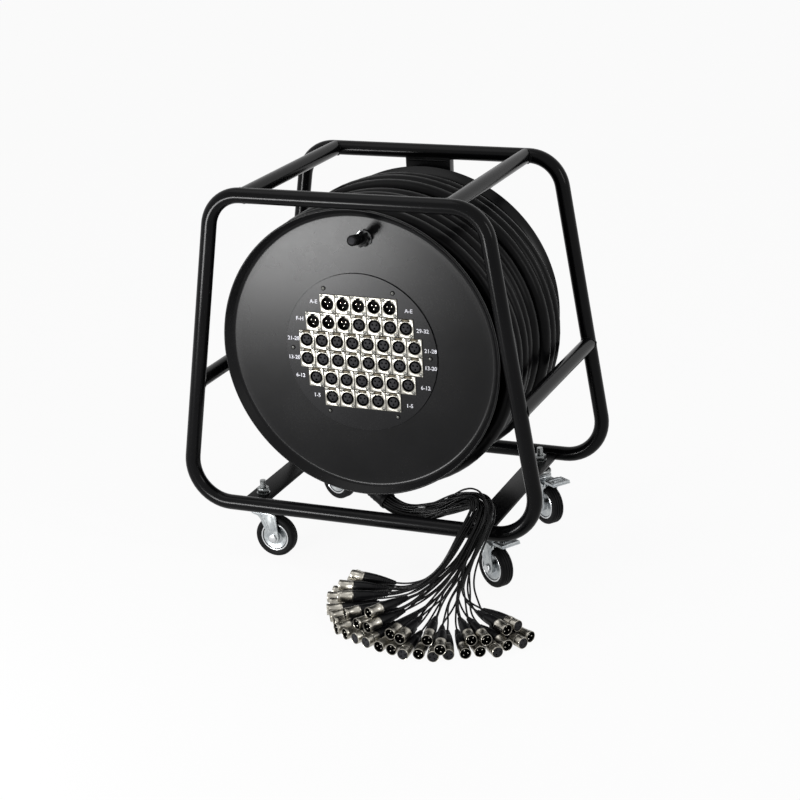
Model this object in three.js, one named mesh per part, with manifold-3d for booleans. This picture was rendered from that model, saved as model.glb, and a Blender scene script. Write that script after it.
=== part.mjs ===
// Stage box snake: a forty channel multicore wound on a drum that turns in a wheeled tube frame.
// Millimetres, +Z up. X runs to the right, Y to the back. The origin is on the floor, midway
// between the two frame hoops and under the drum's axis, which runs along Y.
import * as THREE from 'three';
import { mergeVertices } from 'three/addons/utils/BufferGeometryUtils.js';
import Module from 'manifold-3d';

const wasm = await Module();
wasm.setup();

// Fits
const seat = 0.3;                 // gap left between two pieces that touch
const overrun = 2;                // how far a cutter runs past what it cuts
const blend = 0.02;               // how far a solid runs into another that it is joined to

// Frame: two bent tube hoops, four cross tubes and two flat bars that carry the castors
const tubeDiameter = 25;
const tubeSides = 10;
const hoopHeight = 524;           // bottom rail to top rail, centre to centre
const hoopTopHalf = 227;          // half the hoop's width at its top rail, to the tube's centre
const frameClearance = 53.2;      // from the winding's furthest reach to the hoop's lower corners
const hoopSpacing = 363;          // front hoop to rear hoop, centre to centre
const topBendRadius = 58;
const bottomBendRadius = 66;
const bendSteps = 5;
const topCrossHalf = 172;         // half the distance between the two top cross tubes
const sideCrossRise = 206;        // side cross tubes, above the bottom rails
const barWidth = 42;
const barThickness = 5;
const barCentre = 199;            // castor bars, from the line midway between them
const barShift = 3;               // and how far that line lies right of the drum's axis
const channelWidth = 80;          // upright channel in the rear hoop that carries the drum
const channelSheet = 4;
const channelLip = 14;
const channelFrontY = 172;

// Drum: two dished flanges, a core between them and the winding round the core
const drumRise = 268;             // drum axis above the bottom rails
const flangeRadius = 237.5;
const flangeSheet = 2;
const flangeDish = 14;            // the rim stands this far proud of the flange's flat face
const flangeFaceRadius = 221;     // flat part of the flange
const flangeEdge = 4;             // width of the rolled edge round the rim
const flangeSides = 32;
const frontRimY = -156;
const rearRimY = 150;
const flangeWindow = 111;         // radius of the opening behind the connector panel
const coreRadius = 151;
const coreSheet = 3;
const coreLip = 14;
const coreSides = 16;

// Spindle, bearings and hub
const spindleRadius = 12.4;
const spindleFrontY = 22;
const spindleCollarRadius = 30;
const spindleCollar = 10;
const spindleNutFlats = 36;
const spindleNut = 16;
const spindleSlack = 0.4;         // between the spindle and what turns on it
const bearingRadius = 26;
const bearingWidth = 15;
const hubWall = 6;
const hubFrontY = 36;
const hubRearY = 146;
const hubShoulder = 4;            // the hub runs this far past each bearing
const hubPlateRadius = 62;
const hubPlate = 4;
const turnedSides = 12;

// Connector panel and its forty sockets
const panelRadius = 130.7;
const panelSheet = 2;
const panelScrews = 6;
const panelScrewCircle = 118.7;
const panelScrewRadius = 3.6;
const panelScrewHead = 1.6;
const panelSides = 30;
const socketPitchX = 26.6;
const socketPitchZ = 31.3;
const socketPlate = 1.8;
const socketBodyRadius = 11.6;
const socketBodyDepth = 20;
const socketBore = 10;            // radius of the opening that the plug enters
const socketBoreDepth = 9;
const socketInsert = 8;           // radius of a female socket's contact insert
const socketSides = 8;
const socketBodySides = 6;
const pinRadius = 1.3;
const pinCircle = 4.2;
const pinLength = 6;
// Each row from the top: how many sockets have pins, then how many have holes
const socketRows = [[5, 0], [3, 4], [0, 8], [0, 8], [0, 7], [0, 5]];

// Winding knob on the front flange
const knobX = 14;
const knobRise = 188;             // above the drum's axis
const knobLean = 10;              // degrees that the knob leans away from the axis
const knobLength = 50;
const knobGripRadius = 8.5;
const knobGripLength = 29;
const knobGroove = 0.8;
const knobNeckRadius = 6.5;
const knobBoltRadius = 3;
const knobWasherRadius = 13;
const knobWasher = 1.6;
const knobStarRadius = 13;
const knobStarValley = 10.5;
const knobStarLobes = 7;
const knobStar = 9;
const knobSides = 8;

// Multicore cable and its winding: the outer layer over a plain ring of inner layers
const cableDiameter = 27.6;
const windingRadius = 234;        // mean radius of the outer layer's centreline
const windingTurns = 8.25;
const windingSteps = 20;          // to each turn
const windingSides = 6;
const windingFrontRoom = 3;       // room between the first turn and the front flange
const windingRearRoom = 1;        // and between the last turn and the rear flange
const windingStart = -104;        // degrees round the axis where the outer end leaves the winding
const bulge = 4;                  // the slack turns stand out on one side
const bulgeAngle = -30;
const oval = 6;                   // and lie slightly oval
const ovalAngle = -28;
const frontPull = 8;              // the first turns lie tighter
const frontPullTurns = 2;
const diveSteps = 4;              // the inner end dives into the lower layers over this many steps
const diveDepth = 34;
const layersBore = 153;
const layerRows = 4;

// Fan-out boot at the outer end of the multicore, where the forty tails leave it
const bootRadius = 14.2;
const bootMiddleRadius = 15.4;
const bootMouthRadius = 14.6;
const bootSides = 10;
const bootSteps = 6;
const bootPull = 26;
const bootMouth = [32, -137, -254];   // the height is from the drum's axis
const bootHeading = [0.85, -0.35, -0.4];

// Castors, two of them with a brake pedal
const wheelRadius = 35;
const wheelWidth = 21;
const wheelTrail = 20;
const wheelSides = 14;
const treadWidth = 13;
const tyreShoulder = 31;
const tyreBore = 25;
const tyreBoreWidth = 17.6;
const rimWidth = 17;
const hubDishWidth = 8;
const hubBoss = 9;
const hubSides = 10;
const axleRadius = 4;
const axleHead = 6.5;
const axleHeadHeight = 3.5;
const axleSlack = 0.4;
const forkSheet = 2.5;
const forkInside = 27;
const forkCrown = 79;             // top of the fork's crown above the floor
const forkCrownHalf = 17;
const forkEndRadius = 10;
const forkEar = 34;               // ears of a braked fork reach this far ahead of the kingpin
const raceRadius = 19;
const raceHeight = 9;
const kingpinRadius = 5;
const kingpinHead = 7.5;
const kingpinHeadHeight = 3;
const upperRace = 7;
const stemNeck = 9.2;             // from the upper race to the castor bar
const stemRadius = 5;
const stemShoulder = 9;
const stemProud = 23;             // stem above the castor bar
const nutFlats = 17;
const nutHeight = 8;
const smallSides = 8;
const holeSides = 6;
const raceSides = 10;
const pedalWidth = 24;
const pedalSheet = 2.5;
const pedalPinRadius = 2.4;
const pedalPinAhead = 28;         // from the kingpin
const pedalPinHeight = 76;
const pedalReach = 40;            // from the pin to the tread's edge
const pedalDrop = 9;
const pedalShoe = 9;              // from the pin to the brake shoe
const pedalShoeDepth = 5;
const castorY = 135;
// Side, end, heading of the trail in degrees from +X, and whether it has a brake
const castors = [
  ['front_left', -1, -1, 0, false],
  ['front_right', 1, -1, -33, true],
  ['rear_left', -1, 1, -22, false],
  ['rear_right', 1, 1, -36, true],
];

// Tails: forty thin cords in four strands of ten, which part in front of the cart
const tailDiameter = 4;
const tailSides = 5;
const tailSteps = 4;
const strandRadius = 5.6;
const strandFlare = 7.8;
const strandSides = 6;
const strandSteps = 11;
const strandSpreadShare = 0.4;    // share of the route after which the strands spread
const strandLead = 5;             // a strand leaves the boot straight for this length
const tailPitch = 4.3;            // between neighbouring tails where they leave their strand
// Places of a strand's tails in its end, in pitches [side, up]: seven low ones, then three on top
const tailPlaceShares = [
  [1.5, 0], [1, -0.87], [0.5, 0], [0, -0.87], [-0.5, 0], [-1, -0.87], [-1.5, 0],
  [1, 0.87], [0, 0.87], [-1, 0.87],
];
const tailSink = 2;               // a tail starts this far inside its strand
const tailPull = 70;              // how far a tail keeps its strand's heading as it falls
const tailRun = 40;               // and its plug's heading before it reaches the plug
const plugLength = 76;
const plugRadius = 9.2;
const plugShell = 34;
const plugRoot = 3;
const plugRest = 9.5;             // height of a plug's axis when it lies on the floor
const plugLayer = 16.4;           // and what each layer of plugs beneath it adds
// The bundle's route, by hand, from the boot's mouth to where it parts in front of the rail. The
// heights are from the centre of the bottom rails.
const bundleRoute = [
  [50, -145, 6], [75, -152, 4], [105, -155, 10], [135, -157, 22], [162, -160, 37], [186, -165, 48],
  [203, -174, 53], [211, -187, 48], [208, -201, 34], [199, -214, 14], [190, -226, -9],
];
// Places of the strands across the bundle: [side, up] at the boot, then where they part
const strandPlaces = [
  [[6.1, 6.1], [33, 4]], [[6.1, -6.1], [9, -4]], [[-6.1, -6.1], [-9, -4]], [[-6.1, 6.1], [-33, 4]],
];
// Where the plugs lie, by hand: heading from the fan's centre in degrees, reach of the tip, and layer
const fanCentre = [170, -245];
const landings = [
  [
    [164, 184, 0], [171, 180, 0], [178, 183, 0], [185, 187, 0], [192, 190, 0],
    [199, 184, 0], [206, 188, 0], [174.5, 168, 1], [188.5, 173, 1], [202.5, 170, 1],
  ],
  [
    [214, 185, 0], [221, 184, 0], [228, 190, 0], [235, 187, 0], [242, 184, 0],
    [249, 182, 0], [245.5, 168, 1], [224.5, 170, 1], [238.5, 172, 1], [242, 156, 2],
  ],
  [
    [257, 182, 0], [264, 182, 0], [271, 190, 0], [278, 184, 0], [285, 190, 0],
    [292, 184, 0], [288.5, 200, 1], [260.5, 166, 1], [267.5, 174, 1], [281.5, 170, 1],
  ],
  [
    [300, 184, 0], [307, 184, 0], [314, 196, 0], [321, 184, 0], [328, 192, 0],
    [335, 184, 0], [331.5, 168, 1], [303.5, 176, 1], [310.5, 182, 1], [324.5, 168, 1],
  ],
];

// Values worked out from the sizes above
const tubeRadius = tubeDiameter / 2;
const halfSpacing = hoopSpacing / 2;
const raceTop = forkCrown + raceHeight + seat + upperRace;
const railHeight = raceTop + stemNeck + barThickness / 2;     // floor to the centre of the bottom rails
const windingReach = windingRadius + bulge + oval + cableDiameter / 2;
const hoopBottomHalf = windingReach + frameClearance;
const topHeight = railHeight + hoopHeight;
const axisHeight = railHeight + drumRise;
const frontFaceY = frontRimY + flangeDish;
const frontBackY = frontFaceY + flangeSheet;
const rearFaceY = rearRimY - flangeDish;
const rearInnerY = rearFaceY - flangeSheet;
const frontEndY = frontBackY + seat;
const rearEndY = rearInnerY - seat;
const channelRearY = channelFrontY + channelSheet;
const bearingBore = acrossFlats(spindleRadius + spindleSlack, turnedSides);
const bearingOuter = acrossFlats(bearingRadius, turnedSides);
const hubBore = bearingOuter + seat;
const hubOuter = hubBore + hubWall;
const frontBearingY = hubFrontY + hubShoulder;
const rearBearingY = hubRearY - hubShoulder - bearingWidth;
const barTop = railHeight + barThickness / 2;
const barBottom = railHeight - barThickness / 2;
const panelBackY = frontFaceY - seat;
const panelFrontY = panelBackY - panelSheet;
const plateBackY = panelFrontY - seat;
const plateFrontY = plateBackY - socketPlate;
const cableRadius = cableDiameter / 2;
const windingFrontY = frontEndY + windingFrontRoom + cableRadius;
const windingRearY = rearEndY - windingRearRoom - cableRadius;
const coilEndTurns = windingTurns + diveSteps / windingSteps;
const windingPitch = (windingRearY - windingFrontY) / coilEndTurns;
const tailRadius = tailDiameter / 2;
const forkOutside = forkInside / 2 + forkSheet;
const wheelHalf = forkInside / 2 - seat;

// Finishes
function finish(color, roughness, metalness) {
  return () => new THREE.MeshStandardMaterial({ color, roughness, metalness, flatShading: true });
}
const powderBlack = finish(0x141416, 0.42, 0.25);
const satinBlack = finish(0x1b1b1d, 0.5, 0.2);
const cableBlack = finish(0x121213, 0.55, 0);
const rubberBlack = finish(0x19191a, 0.8, 0);
const zincPlate = finish(0xb9bdc0, 0.35, 0.9);
const nickelPlate = finish(0xc9c5ba, 0.3, 0.9);
const brightSteel = finish(0xc4c6c8, 0.25, 1);
const plasticBlack = finish(0x101011, 0.4, 0);

// Solids: every piece is made of closed meshes that are joined and cut
function solid(geometry) {
  const bare = geometry.clone();
  bare.deleteAttribute('normal');
  bare.deleteAttribute('uv');
  const merged = mergeVertices(bare, blend / overrun);
  const place = merged.getAttribute('position');
  const corners = [];
  let volume = 0;
  const [a, b, c] = [new THREE.Vector3(), new THREE.Vector3(), new THREE.Vector3()];
  for (let i = 0; i < merged.index.count; i += 3) {
    const [p, q, r] = [merged.index.getX(i), merged.index.getX(i + 1), merged.index.getX(i + 2)];
    if (p === q || q === r || r === p) continue;
    corners.push([p, q, r]);
    a.fromBufferAttribute(place, p);
    b.fromBufferAttribute(place, q);
    c.fromBufferAttribute(place, r);
    volume += a.dot(b.cross(c));
  }
  if (volume < 0) corners.forEach((corner) => corner.reverse());
  return new wasm.Manifold(new wasm.Mesh({
    numProp: 3,
    vertProperties: new Float32Array(place.array),
    triVerts: new Uint32Array(corners.flat()),
  }));
}

function join(...solids) {
  return solids.reduce((whole, next) => whole.add(next));
}

function cut(body, ...cutters) {
  return cutters.reduce((left, cutter) => left.subtract(cutter), body);
}

function part(parent, name, material, body, place = new THREE.Matrix4()) {
  const mesh = body.getMesh();
  const geometry = new THREE.BufferGeometry();
  geometry.setAttribute('position', new THREE.BufferAttribute(mesh.vertProperties, 3));
  geometry.setIndex(new THREE.BufferAttribute(new Uint32Array(mesh.triVerts), 1));
  geometry.applyMatrix4(place);
  geometry.computeVertexNormals();
  const node = new THREE.Mesh(geometry, material());
  node.name = name;
  parent.add(node);
}

function radians(degrees) {
  return THREE.MathUtils.degToRad(degrees);
}

// Circle radius whose flats, not its corners, lie at the given distance
function acrossFlats(distance, sides) {
  return distance / Math.cos(Math.PI / sides);
}

function regular(radius, sides, x = 0, y = 0, phase = 0) {
  return Array.from({ length: sides }, (_, i) => {
    const angle = phase + (i / sides) * 2 * Math.PI;
    return [x + radius * Math.cos(angle), y + radius * Math.sin(angle)];
  });
}

function polygon(points, holes = []) {
  const outline = new THREE.Shape(points.map(([x, y]) => new THREE.Vector2(x, y)));
  outline.holes.push(...holes.map((hole) => polygon(hole)));
  return outline;
}

// A profile of [radius, y] points, turned about the Y axis
function turned(profile, sides, phase = 0) {
  const points = [...profile, profile[0]].map(([radius, y]) => new THREE.Vector2(radius, y));
  return solid(new THREE.LatheGeometry(points, sides, phase));
}

// A profile of [radius, z] points, turned about the Z axis
function turnedUpright(profile, sides, phase = 0) {
  return turned(profile, sides, phase).rotate([90, 0, 0]);
}

// An outline in X and Z that reaches forward from y by the given depth
function plate(outline, depth, y) {
  const geometry = new THREE.ExtrudeGeometry(outline, { depth, bevelEnabled: false });
  return solid(geometry.rotateX(Math.PI / 2).translate(0, y, 0));
}

// An outline in X and Y that rises from z by the given height
function upright(outline, height, z) {
  const geometry = new THREE.ExtrudeGeometry(outline, { depth: height, bevelEnabled: false });
  return solid(geometry.translate(0, 0, z));
}

function block(width, depth, height, x = 0, y = 0, z = 0) {
  return solid(new THREE.BoxGeometry(width, depth, height).translate(x, y, z));
}

// A straight round bar between two points
function bar(from, to, radius, sides) {
  const [start, end] = [new THREE.Vector3(...from), new THREE.Vector3(...to)];
  const run = end.clone().sub(start);
  const geometry = new THREE.CylinderGeometry(radius, radius, run.length(), sides);
  const upwards = new THREE.Vector3(0, 1, 0);
  geometry.applyQuaternion(new THREE.Quaternion().setFromUnitVectors(upwards, run.normalize()));
  return solid(geometry.translate(...start.add(end).multiplyScalar(1 / 2).toArray()));
}

// A tube with flat ends through a list of centres, with one ring at each. A corner of every ring
// points along the axis where one is given, and otherwise the rings turn as little as they can.
function sweep(centres, radii, sides, axis) {
  const side = new THREE.Vector3(0, 0, 1);
  const rings = centres.map((centre, i) => {
    const ahead = centres[Math.min(i + 1, centres.length - 1)];
    const heading = ahead.clone().sub(centres[Math.max(i - 1, 0)]).normalize();
    if (axis) side.copy(axis);
    side.addScaledVector(heading, -side.dot(heading)).normalize();
    const up = new THREE.Vector3().crossVectors(side, heading);
    return regular(Array.isArray(radii) ? radii[i] : radii, sides)
      .map(([x, y]) => centre.clone().addScaledVector(side, x).addScaledVector(up, y));
  });
  const last = (rings.length - 1) * sides;
  const index = [];
  for (let k = 0; k < sides; k += 1) {
    const next = (k + 1) % sides;
    for (let start = 0; start < last; start += sides) {
      const [here, there, along] = [start + k, start + next, start + sides];
      index.push(here, there, along + next, here, along + next, along + k);
    }
    if (k > 0 && next > 0) index.push(0, next, k, last, last + k, last + next);
  }
  return solid(new THREE.BufferGeometry().setFromPoints(rings.flat()).setIndex(index));
}

function hexNut(flats, height, bore) {
  const outline = polygon(regular(acrossFlats(flats / 2, 6), 6), [regular(bore, smallSides)]);
  return upright(outline, height, 0);
}

// Angles of the stations round a bend. A bend of more than a right angle has one of them where the
// tube reaches furthest to the side, near its beginning or its end.
function bendAngles(turn, early) {
  const lean = turn - Math.PI / 2;
  const steps = lean > 0 ? bendSteps - 1 : bendSteps;
  const span = (turn - Math.max(lean, 0)) / steps;
  const angles = Array.from({ length: steps + 1 }, (_, k) => k * span);
  if (lean <= 0) return angles;
  return early ? [0, ...angles.map((angle) => angle + lean)] : [...angles, turn];
}

// The closed centreline of a hoop, with stations round its bends and none along its runs
class HoopLine extends THREE.Curve {
  constructor(y) {
    super();
    const corners = [
      [hoopTopHalf, topHeight, topBendRadius], [-hoopTopHalf, topHeight, topBendRadius],
      [-hoopBottomHalf, railHeight, bottomBendRadius], [hoopBottomHalf, railHeight, bottomBendRadius],
    ].map(([x, z, radius]) => ({ at: new THREE.Vector3(x, y, z), radius }));
    this.stations = [];
    this.headings = [];
    corners.forEach(({ at, radius }, i) => {
      const arrive = at.clone().sub(corners[(i + 3) % 4].at).normalize();
      const leave = corners[(i + 1) % 4].at.clone().sub(at).normalize();
      const turn = arrive.angleTo(leave);
      const start = at.clone().addScaledVector(arrive, -radius * Math.tan(turn / 2));
      const inward = leave.addScaledVector(arrive, -leave.dot(arrive)).normalize();
      for (const angle of bendAngles(turn, arrive.z < 0)) {
        this.stations.push(start.clone()
          .addScaledVector(arrive, radius * Math.sin(angle))
          .addScaledVector(inward, radius * (1 - Math.cos(angle))));
        const heading = arrive.clone().multiplyScalar(Math.cos(angle));
        this.headings.push(heading.addScaledVector(inward, Math.sin(angle)));
      }
    });
  }

  getPointAt(share, target = new THREE.Vector3()) {
    return target.copy(this.stations[Math.round(share * this.stations.length) % this.stations.length]);
  }

  getTangentAt(share, target = new THREE.Vector3()) {
    return target.copy(this.headings[Math.round(share * this.headings.length) % this.headings.length]);
  }
}

function makeHoop(y) {
  const line = new HoopLine(y);
  return solid(new THREE.TubeGeometry(line, line.stations.length, tubeRadius, tubeSides, true));
}

// A cutter that leaves a saddle where a tube or plate meets a straight run of a hoop
function saddle(from, to) {
  return bar(from, to, acrossFlats(tubeRadius + seat, tubeSides), tubeSides);
}

function railSaddles(height, halfWidth) {
  return [-1, 1].map((end) => end * halfSpacing)
    .map((y) => saddle([-halfWidth, y, height], [halfWidth, y, height]));
}

// A tube from hoop to hoop
function crossTube(x, z, saddles) {
  return cut(bar([x, -halfSpacing, z], [x, halfSpacing, z], tubeRadius, tubeSides), ...saddles);
}

function makeFrame(parent) {
  part(parent, 'front_hoop', powderBlack, makeHoop(-halfSpacing));
  part(parent, 'rear_hoop', powderBlack, makeHoop(halfSpacing));
  const slope = (hoopBottomHalf - hoopTopHalf) / hoopHeight;
  const sideHeight = railHeight + sideCrossRise;
  const sideHalf = hoopBottomHalf - slope * sideCrossRise;
  for (const [side, sign] of [['left', -1], ['right', 1]]) {
    part(parent, `top_cross_tube_${side}`, powderBlack,
      crossTube(sign * topCrossHalf, topHeight, railSaddles(topHeight, hoopTopHalf)));
    const sideSaddles = [-1, 1].map((end) => saddle(
      [sign * (sideHalf + slope * tubeDiameter), end * halfSpacing, sideHeight - tubeDiameter],
      [sign * (sideHalf - slope * tubeDiameter), end * halfSpacing, sideHeight + tubeDiameter],
    ));
    part(parent, `side_cross_tube_${side}`, powderBlack,
      crossTube(sign * sideHalf, sideHeight, sideSaddles));
    const x = sign * barCentre + barShift;
    const stemHoles = [-castorY, castorY].map((y) => bar(
      [x, y, barBottom - overrun], [x, y, barTop + overrun],
      acrossFlats(stemRadius + seat, smallSides), smallSides,
    ));
    const flat = block(barWidth, hoopSpacing, barThickness, x, 0, railHeight);
    const ends = railSaddles(railHeight, hoopBottomHalf);
    part(parent, `castor_bar_${side}`, powderBlack, cut(flat, ...stemHoles, ...ends));
  }
}

// The upright channel: its web is towards the drum and its lips point to the back
function makeChannel(parent) {
  const half = channelWidth / 2;
  const lipY = channelRearY + channelLip;
  const section = polygon([
    [-half, channelFrontY], [half, channelFrontY], [half, lipY], [half - channelSheet, lipY],
    [half - channelSheet, channelRearY], [channelSheet - half, channelRearY],
    [channelSheet - half, lipY], [-half, lipY],
  ]);
  const hole = bar([0, channelFrontY - overrun, axisHeight], [0, channelRearY + overrun, axisHeight],
    acrossFlats(spindleRadius + seat, turnedSides), turnedSides);
  const ends = [...railSaddles(railHeight, hoopBottomHalf), ...railSaddles(topHeight, hoopTopHalf)];
  part(parent, 'rear_channel', powderBlack, cut(upright(section, hoopHeight, railHeight), hole, ...ends));
}

// Direction of the knob, out of the flange and leaning away from the axis
const knobSeat = new THREE.Vector3(knobX, frontFaceY, knobRise);
const knobLine = new THREE.Vector3(knobX, 0, knobRise).setLength(Math.sin(radians(knobLean)));
knobLine.y = -Math.cos(radians(knobLean));
const knobEndHalf = (knobGripRadius - overrun) * Math.sin(radians(knobLean));
const knobReachY = frontFaceY + knobLength * knobLine.y - knobEndHalf;

const drumAxis = new THREE.Vector3(0, 1, 0);
const onAxis = new THREE.Matrix4().makeTranslation(0, 0, axisHeight);

// What stays still on the drum's axis: the spindle, bolted through the channel, and its two nuts
function makeSpindle(parent) {
  const collarRearY = channelFrontY - seat;
  const rearY = -knobReachY;
  const spindle = turned([
    [0, spindleFrontY], [spindleRadius, spindleFrontY],
    [spindleRadius, collarRearY - spindleCollar], [spindleCollarRadius, collarRearY - spindleCollar],
    [spindleCollarRadius, collarRearY], [spindleRadius, collarRearY], [spindleRadius, rearY], [0, rearY],
  ], turnedSides);
  part(parent, 'spindle', brightSteel, spindle, onAxis);
  const bore = acrossFlats(spindleRadius + seat, smallSides);
  const rearNut = hexNut(spindleNutFlats, spindleNut, bore).rotate([-90, 0, 0]);
  part(parent, 'spindle_rear_nut', zincPlate, rearNut.translate([0, channelRearY + seat, 0]), onAxis);
  const frontNut = hexNut(spindleNutFlats, spindleNut / 2, bore).rotate([90, 0, 0]);
  part(parent, 'spindle_front_nut', zincPlate, frontNut.translate([0, frontBearingY - seat, 0]), onAxis);
}

function makeHub(parent) {
  const hub = turned([
    [hubBore, hubFrontY], [hubOuter, hubFrontY], [hubOuter, rearEndY - hubPlate],
    [hubPlateRadius, rearEndY - hubPlate], [hubPlateRadius, rearEndY], [hubOuter, rearEndY],
    [hubOuter, hubRearY], [hubBore, hubRearY],
  ], turnedSides);
  part(parent, 'drum_hub', satinBlack, hub, onAxis);
  for (const [name, y] of [['front_bearing', frontBearingY], ['rear_bearing', rearBearingY]]) {
    const endY = y + bearingWidth;
    const ring = turned([[bearingBore, y], [bearingOuter, y], [bearingOuter, endY], [bearingBore, endY]],
      turnedSides);
    part(parent, name, brightSteel, ring, onAxis);
  }
}

// A flange is a pan: a flat face, a cone that flares outwards and a rolled edge
function makeFlange(window, faceY, out) {
  const rimY = faceY + out * flangeDish;
  const edgeY = rimY - out * flangeEdge;
  return turned([
    [window, faceY], [flangeFaceRadius, faceY], [flangeRadius - flangeSheet, rimY],
    [flangeRadius, rimY], [flangeRadius, edgeY],
    [flangeFaceRadius + flangeSheet, faceY - out * flangeSheet], [window, faceY - out * flangeSheet],
  ], flangeSides);
}

function makeDrum(parent) {
  const boltHole = bar([knobX, frontFaceY - overrun, knobRise], [knobX, frontBackY + overrun, knobRise],
    acrossFlats(knobBoltRadius + seat, knobSides), knobSides);
  part(parent, 'front_flange', satinBlack, cut(makeFlange(flangeWindow, frontFaceY, -1), boltHole), onAxis);
  const rearWindow = acrossFlats(hubOuter + seat, flangeSides);
  part(parent, 'rear_flange', satinBlack, makeFlange(rearWindow, rearFaceY, 1), onAxis);
  const core = turned([
    [coreRadius, frontEndY], [coreRadius, rearEndY], [coreRadius - coreLip, rearEndY],
    [coreRadius - coreLip, rearEndY - coreSheet], [coreRadius - coreSheet, rearEndY - coreSheet],
    [coreRadius - coreSheet, frontEndY + coreSheet], [coreRadius - coreLip, frontEndY + coreSheet],
    [coreRadius - coreLip, frontEndY],
  ], coreSides);
  part(parent, 'drum_core', satinBlack, core, onAxis);
}

// Places of the sockets in a row, centred on the drum's axis
function socketPlaces(row) {
  const count = socketRows[row][0] + socketRows[row][1];
  const z = ((socketRows.length - 1) / 2 - row) * socketPitchZ;
  return Array.from({ length: count }, (_, i) => [(i - (count - 1) / 2) * socketPitchX, z]);
}

function makePanel(parent) {
  const holeRadius = acrossFlats(socketBodyRadius + seat, socketBodySides);
  const holes = socketRows.flatMap((_, row) => socketPlaces(row))
    .map(([x, z]) => regular(holeRadius, socketBodySides, x, z, Math.PI / socketBodySides));
  const sheet = plate(polygon(regular(panelRadius, panelSides), holes), panelSheet, panelBackY);
  const heads = regular(panelScrewCircle, panelScrews).map(([x, z]) => bar(
    [x, panelFrontY + blend, z], [x, panelFrontY - panelScrewHead, z], panelScrewRadius, 6,
  ));
  part(parent, 'connector_panel', satinBlack, join(sheet, ...heads), onAxis);
}

// A prism about a socket's centre, with flats to its left and right, between two depths
function prism([x, z], radius, sides, fromY, toY) {
  return plate(polygon(regular(radius, sides, x, z, Math.PI / sides)), toY - fromY, toY);
}

// A row of sockets: flange plates side by side, round bodies behind them, and a bore in each
function makeSocketRow(row) {
  const places = socketPlaces(row);
  const [pinned] = socketRows[row];
  const boreEndY = plateFrontY + socketBoreDepth;
  const bodyRadius = acrossFlats(socketBodyRadius, socketBodySides);
  const flange = block(places.length * socketPitchX, socketPlate, socketPitchZ - seat,
    0, plateBackY - socketPlate / 2, places[0][1]);
  const bodies = places.map((place) => prism(place, bodyRadius, socketBodySides,
    plateBackY - blend, plateBackY + socketBodyDepth));
  const bores = places.map((place) => prism(place, socketBore, socketSides,
    plateFrontY - overrun, boreEndY));
  const contacts = places.slice(0, pinned).flatMap(([x, z]) => regular(pinCircle, 3, x, z, -Math.PI / 2))
    .map(([x, z]) => plate(polygon(regular(pinRadius, 4, x, z)), pinLength + blend, boreEndY + blend));
  const inserts = places.slice(pinned)
    .map((place) => prism(place, socketInsert, socketBodySides, plateFrontY, boreEndY + blend));
  return join(cut(join(flange, ...bodies), ...bores), ...contacts, ...inserts);
}

// Winding knob: a star collar bolted flat to the flange, a leaning pin, and a grip that turns on it
function makeKnob(parent) {
  const starY = -seat - knobWasher;
  const neckY = knobGripLength - knobLength;
  const tips = regular(knobStarRadius, 2 * knobStarLobes);
  const valleys = regular(knobStarValley, 2 * knobStarLobes);
  const points = tips.map((point, i) => (i % 2 ? valleys[i] : point));
  const star = upright(polygon(points), knobStar, 0).rotate([90, 0, 0]).translate([0, starY + blend, 0]);
  const bolt = turned([
    [0, flangeSheet], [knobBoltRadius, flangeSheet], [knobBoltRadius, -seat], [knobWasherRadius, -seat],
    [knobWasherRadius, starY], [0, starY],
  ], knobSides);
  const pin = turned([
    [0, starY], [knobNeckRadius, starY], [knobNeckRadius, neckY + seat],
    [knobBoltRadius, neckY + seat], [knobBoltRadius, knobGripRadius - knobLength],
    [0, knobGripRadius - knobLength],
  ], knobSides);
  const bore = acrossFlats(knobBoltRadius + seat, knobSides);
  const grooveY = knobGripRadius + overrun - knobLength;
  const grip = turned([
    [bore, neckY], [knobNeckRadius, neckY], [knobGripRadius, neckY - knobGripRadius],
    [knobGripRadius, grooveY + overrun], [knobGripRadius - knobGroove, grooveY],
    [knobGripRadius, grooveY - overrun], [knobGripRadius, overrun - knobLength],
    [knobGripRadius - overrun, -knobLength], [0, -knobLength],
    [0, knobGripRadius - seat - knobLength], [bore, knobGripRadius - seat - knobLength],
  ], knobSides);
  const turn = new THREE.Quaternion().setFromUnitVectors(new THREE.Vector3(0, -1, 0), knobLine);
  const lean = new THREE.Matrix4().makeRotationFromQuaternion(turn);
  const place = new THREE.Matrix4().makeTranslation(knobSeat).premultiply(onAxis);
  part(parent, 'knob_bolt', plasticBlack, join(bolt, star, pin.transform(lean.toArray())), place);
  part(parent, 'knob_grip', plasticBlack, grip.transform(lean.toArray()), place);
}

// Radius of the outer layer's centreline, a number of turns from its outer end
function coilRadius(turns, angle) {
  const pull = frontPull * Math.max(0, 1 - turns / frontPullTurns);
  const sag = bulge * Math.cos(angle - radians(bulgeAngle))
    + oval * Math.cos(2 * (angle - radians(ovalAngle)));
  const dive = THREE.MathUtils.smoothstep(turns, windingTurns, coilEndTurns);
  return windingRadius - pull + sag - diveDepth * dive;
}

// A point of the outer layer's centreline, with the drum's axis at the height zero
function coilPoint(turns) {
  const angle = radians(windingStart) - turns * 2 * Math.PI;
  const radius = coilRadius(turns, angle);
  const y = windingFrontY + turns * windingPitch;
  return new THREE.Vector3(radius * Math.cos(angle), y, radius * Math.sin(angle));
}

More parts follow.
